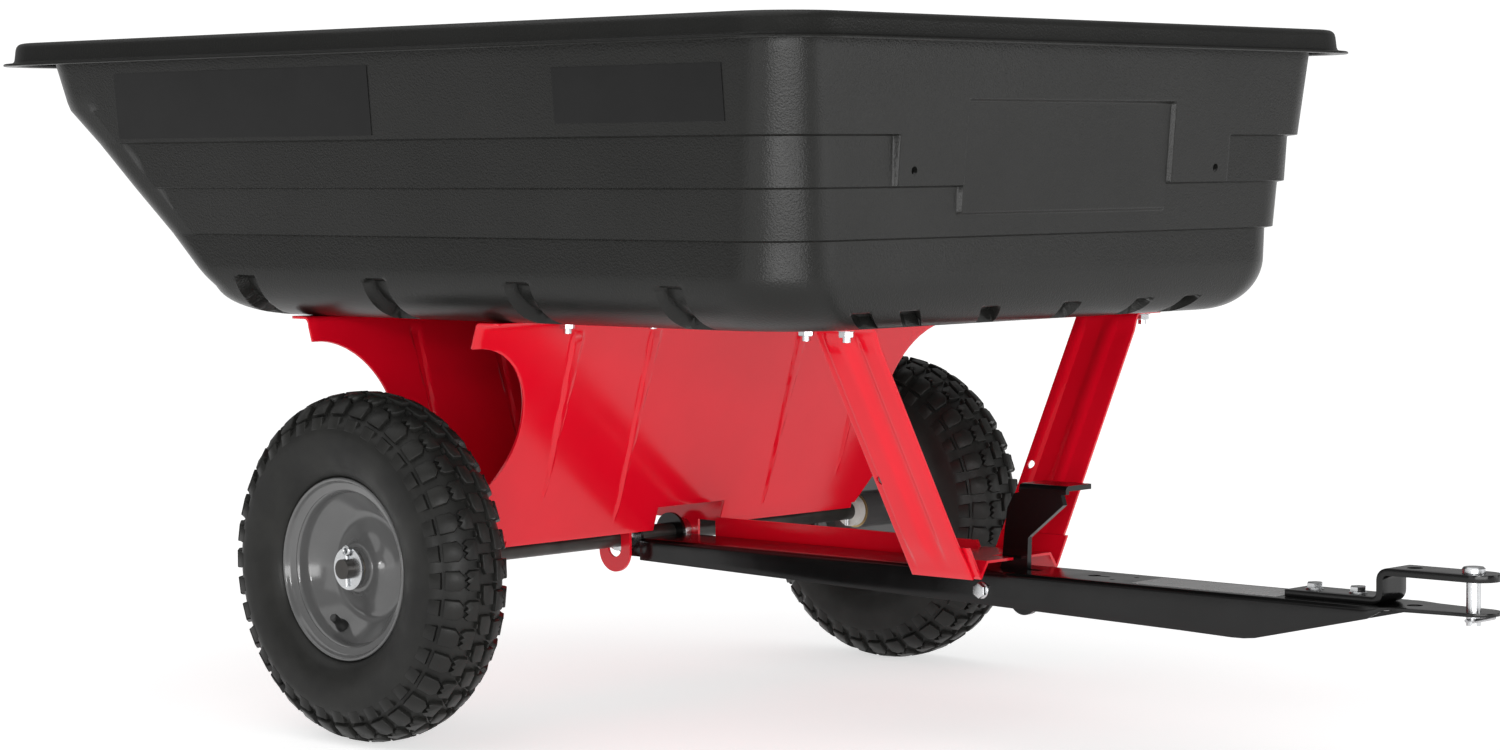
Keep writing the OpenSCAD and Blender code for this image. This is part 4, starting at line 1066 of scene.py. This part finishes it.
def make_camera():
    """The camera, from its place, its turn and its lens."""
    yaw, pitch, roll = (math.radians(a) for a in CAMERA_TURN)
    ahead = Vector((-math.sin(yaw) * math.cos(pitch), math.cos(yaw) * math.cos(pitch),
                    -math.sin(pitch)))
    right = Vector((math.cos(yaw), math.sin(yaw), 0))
    up = right.cross(ahead)
    right_rolled = right * math.cos(roll) + up * math.sin(roll)
    up_rolled = up * math.cos(roll) - right * math.sin(roll)
    cam = bpy.data.objects.new("camera", bpy.data.cameras.new("camera"))
    cam.data.sensor_width = SENSOR
    cam.data.lens = LENS
    turn = Matrix((right_rolled, up_rolled, -ahead)).transposed()
    cam.matrix_world = Matrix.Translation(place(*CAMERA_AT)) @ turn.to_4x4()
    bpy.context.collection.objects.link(cam)
    bpy.context.scene.camera = cam


def area_light(name, location, target, size, power):
    """A rectangular light that points at the target and is hidden from the camera."""
    data = bpy.data.lights.new(name, "AREA")
    data.shape = "RECTANGLE"
    data.size, data.size_y = size
    data.energy = power
    light = bpy.data.objects.new(name, data)
    light.location = location
    aim = Vector(target) - Vector(location)
    light.rotation_euler = aim.to_track_quat("-Z", "Y").to_euler()
    light.visible_camera = False
    bpy.context.collection.objects.link(light)


def make_studio():
    """An even white studio: a world that the camera sees brighter, soft boxes and a floor."""
    scene = bpy.context.scene
    scene.view_settings.view_transform = "Standard"
    world = bpy.data.worlds.new("studio")
    world.use_nodes = True
    nodes, links = world.node_tree.nodes, world.node_tree.links
    backdrop = nodes["Background"]
    backdrop.inputs["Color"].default_value = (1, 1, 1, 1)
    seen = nodes.new("ShaderNodeLightPath").outputs["Is Camera Ray"]
    links.new(spread(nodes, links, seen, WORLD_LIGHT, WORLD_SEEN, 0.0, 1.0),
              backdrop.inputs["Strength"])
    scene.world = world
    sun = bpy.data.lights.new("overhead", "SUN")
    sun.energy = 1.3
    sun.angle = math.radians(80)
    overhead = bpy.data.objects.new("overhead", sun)
    overhead.rotation_euler = (math.radians(12), math.radians(-10), 0)
    bpy.context.collection.objects.link(overhead)
    for box in SOFT_BOXES:
        area_light(*box)
    mesh = bpy.data.meshes.new("floor")
    corners = [(FLOOR_REACH * x, FLOOR_REACH * y, 0) for x, y in ((-1, -1), (1, -1), (1, 1), (-1, 1))]
    mesh.from_pydata(corners, [], [(0, 1, 2, 3)])
    floor = bpy.data.objects.new("floor", mesh)
    bpy.context.collection.objects.link(floor)
    mesh.materials.append(finish_material("pale_floor", (0.66, 0.66, 0.66), (0.70, 0.70, 0.70),
                                          (0.6, 0.7), 2, 60, 0.0001, specular=0.2, glow=0.62))


make_camera()
make_studio()
dress_cad_nodes()
make_tub()
for side_sign, side_word in ((-1, "right"), (1, "left")):
    make_tyre(side_sign, side_word)
    make_rim(side_sign, side_word)
    make_brace(side_sign, side_word)
make_saddle("front", 1)
make_saddle("rear", -1)
make_tongue()
make_strap()
make_label()
make_fasteners()
